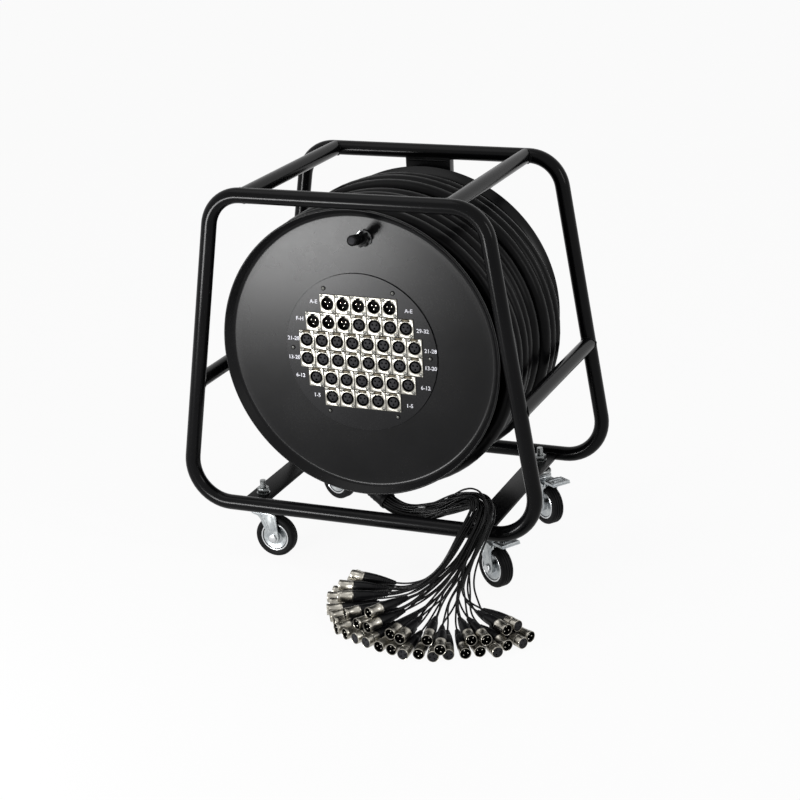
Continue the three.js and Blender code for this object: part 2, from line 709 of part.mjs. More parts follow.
// The centreline from the outer end to the inner one, with a straight cable diameter at both
function coilLine() {
  const count = Math.round(coilEndTurns * windingSteps);
  const line = Array.from({ length: count + 1 }, (_, i) => coilPoint(i / windingSteps));
  for (const [end, step] of [[0, -1], [coilEndTurns, 1]]) {
    const outward = coilPoint(end + step * blend).sub(coilPoint(end)).setLength(cableDiameter);
    const tip = coilPoint(end).add(outward);
    if (step < 0) line.unshift(tip);
    else line.push(tip);
  }
  return line;
}

// The least gap between one turn of the tube and the next, measured on points along it
function leastGap(line) {
  const shares = [0, 1, 2, 3].map((k) => k / 4);
  const points = line.slice(1).flatMap((end, i) => shares.map((share) => line[i].clone().lerp(end, share)));
  const apart = 2 * windingSteps;
  let least = Infinity;
  points.forEach((a, i) => points.slice(i + apart).forEach((b) => {
    least = Math.min(least, a.distanceTo(b));
  }));
  return least - cableDiameter;
}

// The inner layers, kept as one ring whose outside follows the outer layer of cable
function makeLayers(line) {
  const under = cableRadius * Math.cos(Math.PI / windingSides) + 2 * seat;
  const angles = Array.from({ length: windingSteps }, (_, i) => (
    radians(windingStart) - (i / windingSteps) * 2 * Math.PI
  ));
  const ring = (y, radiusAt) => angles.map((angle) => {
    const radius = radiusAt(angle);
    return new THREE.Vector3(radius * Math.cos(angle), y, radius * Math.sin(angle));
  });
  const rows = [ring(frontEndY, () => layersBore)];
  for (let row = 0; row <= layerRows; row += 1) {
    const y = row === layerRows ? rearEndY : frontEndY + row * windingPitch;
    rows.push(ring(y, (angle) => coilRadius(Math.max(0, row - 1), angle) - under));
  }
  rows.push(ring(rearEndY, () => layersBore));
  const index = [];
  rows.forEach((_, row) => angles.forEach((__, k) => {
    const [here, there] = [row * windingSteps, ((row + 1) % rows.length) * windingSteps];
    const next = (k + 1) % windingSteps;
    index.push(here + k, here + next, there + next, here + k, there + next, there + k);
  }));
  const whole = solid(new THREE.BufferGeometry().setFromPoints(rows.flat()).setIndex(index));
  const inner = line.slice(-diveSteps - 2).map((point) => point.clone());
  const end = inner[inner.length - 1];
  end.add(end.clone().sub(inner[inner.length - 2]).setLength(seat));
  return cut(whole, sweep(inner, cableRadius + 2 * seat, windingSides, drumAxis));
}

// The boot bends from the cable's end to the mouth that the tails leave
function bootLine(line) {
  const start = line[0].clone();
  const heading = start.clone().sub(line[1]).normalize();
  start.addScaledVector(heading, seat);
  const mouth = new THREE.Vector3(...bootMouth);
  const out = new THREE.Vector3(...bootHeading).normalize();
  const curve = new THREE.CubicBezierCurve3(
    start.clone().addScaledVector(heading, overrun), start.clone().addScaledVector(heading, bootPull),
    mouth.clone().addScaledVector(out, -bootPull), mouth.clone().addScaledVector(out, -overrun),
  );
  return [start, ...curve.getPoints(bootSteps), mouth];
}

function makeWinding(parent) {
  const line = coilLine();
  console.log(`Least gap of the winding to itself: ${leastGap(line).toFixed(2)} mm`);
  part(parent, 'cable_winding', cableBlack, sweep(line, cableRadius, windingSides, drumAxis), onAxis);
  const boot = bootLine(line);
  const radii = boot.map((_, i) => {
    const share = i / (boot.length - 1);
    const swell = bootMiddleRadius - Math.max(bootRadius, bootMouthRadius);
    return THREE.MathUtils.lerp(bootRadius, bootMouthRadius, share) + swell * Math.sin(Math.PI * share);
  });
  part(parent, 'fanout_boot', rubberBlack, sweep(boot, radii, bootSides, drumAxis), onAxis);
  part(parent, 'inner_cable_layers', cableBlack, makeLayers(line), onAxis);
}

// Castor pieces stand round the kingpin: X is the way the wheel trails
function makeFork(braked) {
  const clear = acrossFlats(axleRadius + seat, holeSides);
  const front = braked
    ? [[forkEar, forkCrown], [forkEar, pedalPinHeight - forkSheet]]
    : [[forkCrownHalf, forkCrown], [forkCrownHalf + forkSheet, forkCrown - 2 * forkSheet]];
  const round = regular(forkEndRadius, smallSides, wheelTrail, wheelRadius);
  const end = round.slice(smallSides / 2 + 1).reverse();
  const outline = [
    [-forkCrownHalf, forkCrown], ...front, [wheelTrail + forkEndRadius, wheelRadius], ...end,
    [wheelTrail - forkEndRadius, wheelRadius], [-forkCrownHalf, forkCrown - 2 * forkSheet],
  ];
  const pinClear = acrossFlats(pedalPinRadius + seat, holeSides);
  const holes = [regular(clear, holeSides, wheelTrail, wheelRadius)];
  if (braked) holes.push(regular(pinClear, holeSides, pedalPinAhead, pedalPinHeight));
  const legs = [forkOutside, -forkInside / 2].map((y) => plate(polygon(outline, holes), forkSheet, y));
  const crown = block(2 * forkCrownHalf, 2 * forkOutside, forkSheet, 0, 0, forkCrown - forkSheet / 2);
  const race = turnedUpright([
    [0, forkCrown - blend], [raceRadius, forkCrown - blend],
    [raceRadius, forkCrown + raceHeight], [0, forkCrown + raceHeight],
  ], raceSides);
  const hole = bar([0, 0, forkCrown - 2 * forkSheet], [0, 0, forkCrown + raceHeight + overrun],
    acrossFlats(kingpinRadius + seat, smallSides), smallSides);
  return cut(join(...legs, crown, race), hole);
}

function makeStem() {
  const raceBottom = forkCrown + raceHeight + seat;
  const headTop = forkCrown - forkSheet - seat;
  const top = barTop + stemProud;
  return turnedUpright([
    [0, headTop - kingpinHeadHeight], [kingpinHead, headTop - kingpinHeadHeight], [kingpinHead, headTop],
    [kingpinRadius, headTop], [kingpinRadius, raceBottom], [raceRadius, raceBottom],
    [raceRadius, raceBottom + upperRace], [stemShoulder, barBottom - seat],
    [stemRadius, barBottom - seat], [stemRadius, top], [0, top],
  ], smallSides);
}

function makeTyre() {
  const side = wheelWidth / 2;
  const shoulder = acrossFlats(tyreShoulder, wheelSides);
  const tread = acrossFlats(wheelRadius, wheelSides);
  const bore = acrossFlats(tyreBore, wheelSides);
  return turned([
    [bore, -tyreBoreWidth / 2], [shoulder, -side], [tread, -treadWidth / 2], [tread, treadWidth / 2],
    [shoulder, side], [bore, tyreBoreWidth / 2],
  ], wheelSides, Math.PI / wheelSides);
}

function makeWheelHub() {
  const bore = acrossFlats(axleRadius + axleSlack, hubSides);
  const rim = tyreBore - seat;
  return turned([
    [bore, -wheelHalf], [hubBoss, -wheelHalf], [hubBoss, -hubDishWidth / 2], [rim, -rimWidth / 2],
    [rim, rimWidth / 2], [hubBoss, hubDishWidth / 2], [hubBoss, wheelHalf], [bore, wheelHalf],
  ], hubSides);
}

function makeAxle() {
  const head = forkOutside + seat;
  return turned([
    [0, -head - axleHeadHeight], [axleHead, -head - axleHeadHeight], [axleHead, -head], [axleRadius, -head],
    [axleRadius, head], [axleHead, head], [axleHead, head + axleHeadHeight], [0, head + axleHeadHeight],
  ], smallSides);
}

// The pedal is a bent lever on a pin through the fork's ears, with a shoe above the tyre
function makePedal() {
  const half = pedalWidth / 2;
  const [x, z] = [pedalPinAhead, pedalPinHeight];
  const lever = plate(polygon([
    [x - pedalPinRadius - pedalSheet, z - pedalSheet], [x + pedalShoe - pedalSheet, z - pedalShoeDepth],
    [x + pedalShoe + pedalSheet, z - pedalShoeDepth], [x + pedalReach, z - pedalDrop - pedalSheet],
    [x + pedalReach, z - pedalDrop], [x + pedalShoe, z + pedalPinRadius + seat],
    [x - pedalPinRadius, z + pedalPinRadius + seat],
  ]), pedalWidth, half);
  const reach = forkOutside + pedalSheet;
  return join(lever, bar([x, -reach, z], [x, reach, z], pedalPinRadius, smallSides));
}

function makeCastors(parent) {
  const nut = hexNut(nutFlats, nutHeight, acrossFlats(stemRadius + seat, smallSides))
    .translate([0, 0, barTop + seat]);
  const toWheel = new THREE.Matrix4().makeTranslation(wheelTrail, 0, wheelRadius);
  for (const [name, side, end, heading, braked] of castors) {
    const place = new THREE.Matrix4().makeRotationZ(radians(heading));
    place.setPosition(side * barCentre + barShift, end * castorY, 0);
    const wheelPlace = place.clone().multiply(toWheel);
    part(parent, `castor_stem_${name}`, zincPlate, makeStem(), place);
    part(parent, `castor_nut_${name}`, zincPlate, nut, place);
    part(parent, `castor_fork_${name}`, zincPlate, makeFork(braked), place);
    part(parent, `castor_axle_${name}`, brightSteel, makeAxle(), wheelPlace);
    part(parent, `wheel_hub_${name}`, brightSteel, makeWheelHub(), wheelPlace);
    part(parent, `wheel_tyre_${name}`, rubberBlack, makeTyre(), wheelPlace);
    if (braked) part(parent, `brake_pedal_${name}`, zincPlate, makePedal(), place);
  }
}

// Sideways and up across the bundle at a point of its route
function acrossBundle(curve, share) {
  const heading = curve.getTangentAt(share);
  const side = new THREE.Vector3().crossVectors(heading, new THREE.Vector3(0, 0, 1)).normalize();
  return { heading, side, up: new THREE.Vector3().crossVectors(side, heading) };
}

function strandLine(curve, [start, end]) {
  const line = Array.from({ length: strandSteps + 1 }, (_, i) => {
    const share = i / strandSteps;
    const spread = THREE.MathUtils.smoothstep(share, strandSpreadShare, 1);
    const { side, up } = acrossBundle(curve, share);
    return curve.getPointAt(share)
      .addScaledVector(side, THREE.MathUtils.lerp(start[0], end[0], spread))
      .addScaledVector(up, THREE.MathUtils.lerp(start[1], end[1], spread));
  });
  const lead = new THREE.Vector3(...bootHeading).setLength(strandLead);
  line.splice(1, 0, line[0].clone().add(lead));
  return line;
}

// A tail with the plug at its end, which lies along outward on the floor or on other plugs
function makeTail(from, heading, tip, outward) {
  const back = (length) => tip.clone().addScaledVector(outward, -length);
  const fall = new THREE.CubicBezierCurve3(from, from.clone().addScaledVector(heading, tailPull),
    back(plugLength + tailRun), back(plugLength));
  const line = [...fall.getPoints(tailSteps), back(plugShell), tip];
  const radii = [...new Array(tailSteps).fill(tailRadius), plugRoot, plugRadius, plugRadius];
  return sweep(line, radii, tailSides);
}

function makeTails(parent) {
  const out = new THREE.Vector3(...bootHeading).normalize();
  const mouth = new THREE.Vector3(...bootMouth).applyMatrix4(onAxis).addScaledVector(out, seat);
  const route = bundleRoute.map(([x, y, z]) => new THREE.Vector3(x, y, railHeight + z));
  const lead = mouth.clone().addScaledVector(out, strandLead);
  const curve = new THREE.CatmullRomCurve3([mouth, lead, ...route]);
  const { heading, side, up } = acrossBundle(curve, 1);
  strandPlaces.forEach((places, strand) => {
    const line = strandLine(curve, places);
    const end = line[line.length - 1];
    const radii = line.map((centre) => (centre === end ? strandFlare : strandRadius));
    const tails = landings[strand].map(([angle, reach, layer], k) => {
      const outward = new THREE.Vector3(Math.cos(radians(angle)), Math.sin(radians(angle)), 0);
      const height = plugRest + layer * plugLayer;
      const tip = new THREE.Vector3(...fanCentre, height).addScaledVector(outward, reach);
      const from = end.clone().addScaledVector(heading, -tailSink)
        .addScaledVector(side, tailPlaceShares[k][0] * tailPitch)
        .addScaledVector(up, tailPlaceShares[k][1] * tailPitch);
      return makeTail(from, heading, tip, outward);
    });
    part(parent, `tail_strand_${strand + 1}`, cableBlack, join(sweep(line, radii, strandSides), ...tails));
  });
}

const stageBoxSnake = new THREE.Group();
stageBoxSnake.name = 'stage_box_snake';
makeFrame(stageBoxSnake);
makeChannel(stageBoxSnake);
makeSpindle(stageBoxSnake);
makeHub(stageBoxSnake);
makeDrum(stageBoxSnake);
makePanel(stageBoxSnake);
socketRows.forEach((_, row) => {
  part(stageBoxSnake, `socket_row_${row + 1}`, nickelPlate, makeSocketRow(row), onAxis);
});
makeKnob(stageBoxSnake);
makeWinding(stageBoxSnake);
makeCastors(stageBoxSnake);
makeTails(stageBoxSnake);

export default stageBoxSnake;
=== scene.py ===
"""Stage box snake on a drum cart, dressed for the studio. All sizes are in millimetres."""
import random
from math import atan2, cos, exp, pi, radians, sin, sqrt, tan

import bpy
from mathutils import Matrix, Vector


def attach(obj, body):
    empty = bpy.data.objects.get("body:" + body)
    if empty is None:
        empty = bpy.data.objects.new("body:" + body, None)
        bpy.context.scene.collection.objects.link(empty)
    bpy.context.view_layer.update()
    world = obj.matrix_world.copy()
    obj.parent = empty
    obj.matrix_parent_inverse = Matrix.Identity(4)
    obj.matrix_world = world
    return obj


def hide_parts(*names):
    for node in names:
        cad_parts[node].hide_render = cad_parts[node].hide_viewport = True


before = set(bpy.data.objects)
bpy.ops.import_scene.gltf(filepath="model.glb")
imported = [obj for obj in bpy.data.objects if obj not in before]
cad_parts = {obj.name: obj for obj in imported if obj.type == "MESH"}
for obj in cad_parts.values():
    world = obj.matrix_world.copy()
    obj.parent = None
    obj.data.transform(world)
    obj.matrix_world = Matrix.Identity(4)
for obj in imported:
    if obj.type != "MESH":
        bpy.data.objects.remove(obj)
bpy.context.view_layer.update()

MM = 0.001
CHANCE = random.Random(40)
AXIS_HEIGHT = 375
HOOP_Y = 181.5
TUBE_RADIUS = 12.5
CASTOR_X = {-1: -196, 1: 202}
UP = Vector((0, 0, 1))


# -------- camera

def aim_camera():
    """Stand where the photographer stood: right of the cart, above it, very slightly rolled."""
    turn, rise, roll = radians(23.04), radians(19.37), radians(-2.57)
    focus, distance = Vector((0.00252, 0, 0.24653)), 3.21098
    focal_length_in_pixels, picture_width, sensor_width = 1915.35, 800, 36
    back = Vector((sin(turn) * cos(rise), -cos(turn) * cos(rise), sin(rise)))
    right = UP.cross(back).normalized()
    top = back.cross(right)
    rolled_right = right * cos(roll) + top * sin(roll)
    rolled_up = top * cos(roll) - right * sin(roll)
    place = focus + back * distance
    bpy.ops.object.camera_add(location=place)
    camera = bpy.context.object
    camera.name = "studio_camera"
    axes = Matrix((rolled_right, rolled_up, back)).transposed().to_4x4()
    camera.matrix_world = Matrix.Translation(place) @ axes
    camera.data.lens = focal_length_in_pixels / picture_width * sensor_width
    camera.data.sensor_width = sensor_width
    bpy.context.scene.camera = camera


aim_camera()


# -------- finishes

class Wire:
    """The value of a node's socket, with the arithmetic that the finishes use."""

    def __init__(self, nodes, socket):
        self.nodes, self.socket = nodes, socket

    def __add__(self, other):
        return self.nodes.maths("ADD", self, other)

    def __mul__(self, other):
        return self.nodes.maths("MULTIPLY", self, other)

    __radd__ = __add__
    __rmul__ = __mul__


class Nodes:
    """A node tree, and the one method that adds nodes to it."""

    def __init__(self, tree):
        self.tree = tree

    def node(self, kind, settings=None, inputs=None, output=0):
        node = self.tree.nodes.new(kind)
        for key, value in (settings or {}).items():
            if key == "stops":
                for stop, position in zip(node.color_ramp.elements, value):
                    stop.position = position
            else:
                setattr(node, key, value)
        for key, value in (inputs or {}).items():
            self.feed(node.inputs[key], value)
        return Wire(self, node.outputs[output])

    def feed(self, socket, value):
        if isinstance(value, Wire):
            self.tree.links.new(value.socket, socket)
        else:
            socket.default_value = value

    def maths(self, operation, first, second):
        return self.node("ShaderNodeMath", {"operation": operation}, {0: first, 1: second})

    def seen(self):
        """1 for the rays that look at a surface: the camera's, mirrored ones and ones through glass."""
        path = self.tree.nodes.new("ShaderNodeLightPath")
        rays = [Wire(self, path.outputs[f"Is {kind} Ray"]) for kind in ("Camera", "Glossy", "Transmission")]
        return self.maths("MAXIMUM", self.maths("MAXIMUM", rays[0], rays[1]), rays[2])


class Coat(Nodes):
    """A finish: one material, its shader and the nodes that vary it."""

    def __init__(self, name, color, roughness, metal=0, specular=0.5):
        self.material = bpy.data.materials.new(name)
        self.material.use_nodes = True
        super().__init__(self.material.node_tree)
        self.shader = self.tree.nodes["Principled BSDF"]
        self.material.diffuse_color = (*color, 1)
        self.set("Base Color", (*color, 1))
        self.set("Roughness", roughness)
        self.set("Metallic", metal)
        self.set("Specular IOR Level", specular)
        self.place = self.node("ShaderNodeTexCoord", output="Object")

    def set(self, socket, value):
        self.feed(self.shader.inputs[socket], value)

    def noise(self, scale, detail=3, roughness=0.55, place=None):
        return self.node("ShaderNodeTexNoise", {}, {
            "Vector": place or self.place, "Scale": scale, "Detail": detail, "Roughness": roughness})

    def grain(self, stretch, detail):
        """Noise drawn out into fine parallel lines."""
        place = {"Vector": self.place, "Scale": stretch}
        mapping = self.node("ShaderNodeMapping", {"vector_type": "POINT"}, place)
        return self.noise(1, detail, 0.6, mapping)

    def mixed(self, share, low, high):
        self.set("Base Color", self.node("ShaderNodeMix", {"data_type": "RGBA"},
                                         {0: share, 6: (*low, 1), 7: (*high, 1)}, output=2))

    def shaded(self, pattern, start, end, low, high):
        """Take the colour from low to high where a pattern rises from start to end."""
        self.mixed(self.node("ShaderNodeValToRGB", {"stops": (start, end)}, {0: pattern}), low, high)

    def bumped(self, *layers):
        """The finished material, with bumps of a height, a strength and a depth in millimetres."""
        normal = None
        for height, strength, depth in layers:
            inputs = {"Height": height, "Strength": strength, "Distance": depth * MM}
            if normal:
                inputs["Normal"] = normal
            normal = self.node("ShaderNodeBump", {}, inputs)
        self.set("Normal", normal)
        return self.material


def lit(color, gain, lift=0):
    return tuple(c * gain + lift for c in color)


def powder_paint(name, color, roughness, peel, specular):
    """Baked powder paint: a fine orange peel and faint clouds in the gloss."""
    coat = Coat(name, color, roughness, specular=specular)
    clouds, fine = coat.noise(7, 4), coat.noise(420, 2)
    coat.shaded(clouds, 0.35, 0.7, color, lit(color, 1.5, 0.0008))
    coat.set("Roughness", clouds * 0.10 + (fine * 0.06 + (roughness - 0.08)))
    return coat.bumped((fine, peel, 0.12), (coat.noise(1700, 1), peel * 0.6, 0.03))


def jacket(name, color, roughness, lumps, specular):
    """Flexible cable jacket: matt from the extruder, slightly lumpy, with long faint rubs."""
    coat = Coat(name, color, roughness, specular=specular)
    rubs, fine = coat.noise(26, 5, 0.7), coat.noise(900, 2)
    coat.shaded(rubs, 0.45, 0.72, color, lit(color, 1.9, 0.0012))
    coat.set("Roughness", rubs * 0.22 + (roughness - 0.11))
    return coat.bumped((coat.noise(34, 2), lumps, 1.2), (fine, 0.12, 0.05))


def rubber(name, color, roughness):
    """Moulded rubber with a soft grain and grey bloom."""
    coat = Coat(name, color, roughness, specular=0.08)
    bloom, grain = coat.noise(55, 5, 0.65), coat.noise(1400, 2)
    coat.shaded(bloom, 0.42, 0.75, color, lit(color, 2.1))
    coat.set("Roughness", bloom * 0.2 + (roughness - 0.1))
    return coat.bumped((grain, 0.22, 0.06), (bloom, 0.1, 0.2))


def moulded(name, color, roughness, specular=0.5):
    """Moulded plastic with a spark-eroded grain."""
    coat = Coat(name, color, roughness, specular=specular)
    grain, wear = coat.noise(1100, 2), coat.noise(90, 4)
    coat.shaded(wear, 0.5, 0.8, color, lit(color, 1.8, 0.001))
    coat.set("Roughness", wear * 0.14 + (grain * 0.08 + (roughness - 0.1)))
    return coat.bumped((grain, 0.14, 0.04))


def zinc(name, dull, bright):
    """Bright zinc plate on pressed steel: cool, a little cloudy, with a spangle under the passivate."""
    coat = Coat(name, bright, 0.3, 1)
    spangle = coat.node("ShaderNodeTexVoronoi", {"feature": "F1"}, {"Vector": coat.place, "Scale": 170},
                        output="Distance")
    clouds = coat.noise(48, 5, 0.6)
    coat.shaded(clouds * 0.75 + spangle * 0.25, 0.3, 0.66, dull, bright)
    coat.set("Roughness", clouds * 0.3 + (spangle * 0.1 + 0.12))
    return coat.bumped((clouds, 0.25, 0.15), (spangle, 0.12, 0.06))


def nickel(name, dull, bright):
    """Satin nickel on die-cast zinc: warm, with a soft brushed grain and dull patches."""
    coat = Coat(name, bright, 0.3, 1)
    brushed, patches = coat.grain((260, 260, 1900), 2), coat.noise(70, 4)
    coat.shaded(patches, 0.34, 0.7, dull, bright)
    coat.set("Roughness", patches * 0.22 + (brushed * 0.1 + 0.14))
    return coat.bumped((brushed, 0.12, 0.03))


def turned_steel(name, color, roughness):
    """Machined steel: fine rings left by the tool."""
    coat = Coat(name, color, roughness, 1)
    streaks, clouds = coat.grain((60, 900, 60), 3), coat.noise(30, 3)
    coat.mixed(streaks, lit(color, 0.82), color)
    coat.set("Roughness", streaks * 0.16 + (clouds * 0.08 + (roughness - 0.12)))
    return coat.bumped((streaks, 0.2, 0.04))


FRAME_PAINT = powder_paint("frame_powder_paint", (0.0018, 0.0018, 0.0021), 0.20, 0.05, 0.09)
BAR_PAINT = powder_paint("bar_powder_paint", (0.0018, 0.0018, 0.0021), 0.26, 0.05, 0.035)
DRUM_PAINT = powder_paint("drum_powder_paint", (0.0026, 0.0026, 0.0029), 0.26, 0.04, 0.13)
PANEL_PAINT = powder_paint("panel_powder_paint", (0.0036, 0.0036, 0.0042), 0.27, 0.05, 0.14)
MULTICORE = jacket("multicore_jacket", (0.0012, 0.0012, 0.0014), 0.32, 0.35, 0.07)
TAIL_JACKET = jacket("tail_jacket", (0.0015, 0.0015, 0.0017), 0.27, 0.10, 0.15)
BOOT_RUBBER = rubber("boot_rubber", (0.0022, 0.0022, 0.0024), 0.50)
TYRE_RUBBER = rubber("tyre_rubber", (0.0045, 0.0045, 0.0048), 0.58)
ZINC = zinc("zinc_plate", (0.27, 0.29, 0.31), (0.47, 0.49, 0.49))
# A darker copy of the zinc plate, for the castor stems and nuts.
DARKER_ZINC = zinc("darker_zinc", (0.10, 0.11, 0.11), (0.36, 0.37, 0.37))
STEEL = turned_steel("bright_steel", (0.62, 0.63, 0.64), 0.28)
SCREW_STEEL = turned_steel("dull_steel", (0.17, 0.17, 0.16), 0.40)
BROWNED_STEEL = turned_steel("browned_steel", (0.065, 0.056, 0.040), 0.45)
NICKEL = nickel("satin_nickel", (0.225, 0.217, 0.192), (0.375, 0.362, 0.325))
PLUG_NICKEL = nickel("plug_nickel", (0.30, 0.285, 0.25), (0.46, 0.44, 0.39))
KNOB_PLASTIC = moulded("knob_plastic", (0.0022, 0.0022, 0.0024), 0.25, 0.12)
PLUG_PLASTIC = moulded("plug_boot_plastic", (0.0030, 0.0030, 0.0036), 0.36, 0.14)
INSERT_PLASTIC = moulded("insert_plastic", (0.0130, 0.0130, 0.0150), 0.55, 0.15)
# Black of the socket wells and plug inserts, also used as painted shade: discs at the bottoms of contact
# holes, rings under screw heads, sheets behind cut-outs, a plug shell's lining and a wheel centre's crease.
BLACK_AND_PAINTED_SHADE = moulded("well_black_and_painted_shade", (0.0012, 0.0012, 0.0012), 0.6, 0.06)
CONTACT = turned_steel("silver_contact", (0.62, 0.60, 0.55), 0.24)
LETTER_INK = moulded("letter_ink", (0.66, 0.66, 0.71), 0.6)


# -------- tools for making pieces

def mode(name):
    bpy.ops.object.mode_set(mode=name)


def fresh():
    if bpy.context.object and bpy.context.object.mode != "OBJECT":
        mode("OBJECT")
    bpy.ops.object.select_all(action="DESELECT")


def pick(*pieces):
    fresh()
    for piece in pieces:
        piece.select_set(True)
    bpy.context.view_layer.objects.active = pieces[0]


def tidy(piece):
    """Merge what touches, close what is open and turn every face outwards."""
    pick(piece)
    mode("EDIT")
    bpy.ops.mesh.select_all(action="SELECT")
    bpy.ops.mesh.remove_doubles(threshold=0.00001)
    bpy.ops.mesh.fill_holes(sides=0)
    bpy.ops.mesh.normals_make_consistent(inside=False)
    mode("OBJECT")


def coated(piece, finish):
    if finish:
        piece.data.materials.clear()
        piece.data.materials.append(finish)
    return piece


def smooth(piece, angle=38):
    pick(piece)
    bpy.ops.object.shade_smooth_by_angle(angle=radians(angle))
    return piece


def modified(piece, kind, **settings):
    pick(piece)
    modifier = piece.modifiers.new(kind.lower(), kind)
    for key, value in settings.items():
        setattr(modifier, key, value)
    bpy.ops.object.modifier_apply(modifier=modifier.name)
    return piece


def beveled(piece, width, segments, angle):
    return modified(piece, "BEVEL", width=width * MM, segments=segments, limit_method="ANGLE",
                    angle_limit=radians(angle))


def softened(piece, width, segments=2, angle=35):
    return smooth(beveled(piece, width, segments, angle))


def primitive(add, location=(0, 0, 0), **settings):
    fresh()
    add(location=location, **settings)
    return bpy.context.object


def turned(profile, steps=64, finish=None):
    """Turn a profile of (radius, height) stations about Z: one ring, extruded and sized in turn."""
    stations = [(max(radius, 0.01), height) for radius, height in profile]
    radius, height = stations[0]
    piece = primitive(bpy.ops.mesh.primitive_circle_add, vertices=steps, radius=radius * MM)
    mode("EDIT")
    bpy.ops.transform.translate(value=(0, 0, height * MM))
    for (radius, height), (next_radius, next_height) in zip(stations, stations[1:]):
        rise = (0, 0, (next_height - height) * MM)
        bpy.ops.mesh.extrude_region_move(TRANSFORM_OT_translate={"value": rise})
        ratio = next_radius / radius
        bpy.ops.transform.resize(value=(ratio, ratio, 1), center_override=(0, 0, next_height * MM))
    tidy(piece)
    return coated(smooth(piece), finish)


def drill(radius, low, high, steps, finish=None):
    return turned([(radius, low), (radius, high)], steps, finish)


def puck(radius, low, high, steps, finish):
    return turned([(0, low), (radius, low), (radius, high), (0, high)], steps, finish)


def ring(inner, outer, low, high, steps, finish):
    return turned([(inner, low), (outer, low), (outer, high), (inner, high), (inner, low)], steps, finish)


def pressed(outline, thickness, finish=None):
    """A flat blank of (x, y) points, raised along Z from 0."""
    piece = primitive(bpy.ops.mesh.primitive_circle_add, vertices=len(outline), radius=1, fill_type="NGON")
    for corner, (x, y) in zip(piece.data.vertices, outline):
        corner.co = (x * MM, y * MM, 0)
    mode("EDIT")
    bpy.ops.mesh.select_all(action="SELECT")
    bpy.ops.mesh.extrude_region_move(TRANSFORM_OT_translate={"value": (0, 0, thickness * MM)})
    tidy(piece)
    return coated(piece, finish)


def block(size, centre, finish=None):
    piece = primitive(bpy.ops.mesh.primitive_cube_add, size=1)
    piece.matrix_world = shifted(*centre) @ Matrix.Diagonal((*(Vector(size) * MM), 1))
    bpy.ops.object.transform_apply()
    return coated(piece, finish)


def rod(start, end, radius, sides, finish):
    start, end = Vector(start), Vector(end)
    piece = drill(radius, 0, (end - start).length, sides, finish)
    return placed(piece, shifted(*start) @ facing(end - start))


def round_curve(name, kind, radius, resolution, capped=True):
    curve = bpy.data.curves.new(name, "CURVE")
    curve.dimensions = "3D"
    curve.bevel_depth = radius * MM
    curve.bevel_resolution = resolution
    curve.use_fill_caps = capped
    piece = bpy.data.objects.new(name, curve)
    bpy.context.scene.collection.objects.link(piece)
    return piece, curve.splines.new(kind)


def tube(points, radius, sides, closed=False, shares=None, finish=None):
    """A round bar along a line of points; shares thin or thicken it at each of them."""
    piece, line = round_curve("line", "POLY", radius, sides // 2 - 2, not closed)
    line.points.add(len(points) - 1)
    for spot, point, share in zip(line.points, points, shares or [1] * len(points)):
        spot.co = (*(Vector(point) * MM), 1)
        spot.radius = share
    line.use_cyclic_u = closed
    pick(piece)
    bpy.ops.object.convert(target="MESH")
    piece = bpy.context.object
    tidy(piece)
    return coated(smooth(piece, 50), finish)


def facing(direction):
    """The turn that takes Z to a direction."""
    return UP.rotation_difference(Vector(direction)).to_matrix().to_4x4()


def shifted(x, y, z):
    return Matrix.Translation(Vector((x, y, z)) * MM)


def placed(piece, matrix):
    pick(piece)
    piece.matrix_world = matrix
    bpy.ops.object.transform_apply()
    return piece


def moved(piece, x, y, z):
    return placed(piece, shifted(x, y, z))


def twin(piece, matrix):
    copy = piece.copy()
    copy.data = piece.data.copy()
    bpy.context.scene.collection.objects.link(copy)
    return placed(copy, matrix)


def joined(*pieces):
    if len(pieces) > 1:
        pick(*pieces)
        bpy.ops.object.join()
    return pieces[0]


def cut(piece, *cutters, operation="DIFFERENCE"):
    for cutter in cutters:
        modified(piece, "BOOLEAN", operation=operation, solver="EXACT", object=cutter)
    discard(*cutters)
    return piece


def discard(*pieces):
    for piece in pieces:
        bpy.data.objects.remove(piece)


def handed_in(piece, name, body, slot, *nodes):
    """Name a finished piece and say what it moves with and what it stands for; its finish slot is not used.
    """
    piece.name = piece.data.name = name
    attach(piece, body)
    if nodes:
        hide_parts(*nodes)


def smoothstep(value, low, high):
    share = min(1, max(0, (value - low) / (high - low)))
    return share * share * (3 - 2 * share)


UPRIGHT = Matrix.Rotation(pi / 2, 4, "X")
TO_DRUM = shifted(0, 0, AXIS_HEIGHT) @ Matrix.Rotation(-pi / 2, 4, "X")


# -------- tails: the forty free cords

BOOT_MOUTH = Vector((32, -137, 121))
BOOT_HEADING = Vector((0.85, -0.35, -0.4)).normalized()
BUNDLE_ROUTE = [
    (50, -145, 113), (75, -152, 111), (105, -155, 117), (135, -157, 129), (163, -160, 144), (189, -165, 156),
    (209, -174, 161), (219, -187, 155), (217, -201, 141), (209, -214, 121), (200, -226, 98),
]
STRAND_ENDS = [(33, 4), (9, -4), (-9, -4), (-33, 4)]
TAIL_PLACES = [
    (1.5, 0), (1, -0.87), (0.5, 0), (0, -0.87), (-0.5, 0), (-1, -0.87), (-1.5, 0),
    (1, 0.87), (0, 0.87), (-1, 0.87),
]
TAIL_PITCH = 3.6
TAIL_RADIUS = 1.5
ARCHED_TAILS = {(0, 8), (3, 8), (1, 9), (2, 6)}
FAN_CENTRE = (169.85, -245)
PLUG_LENGTH = 76
LAYER_HEIGHT = 16.4
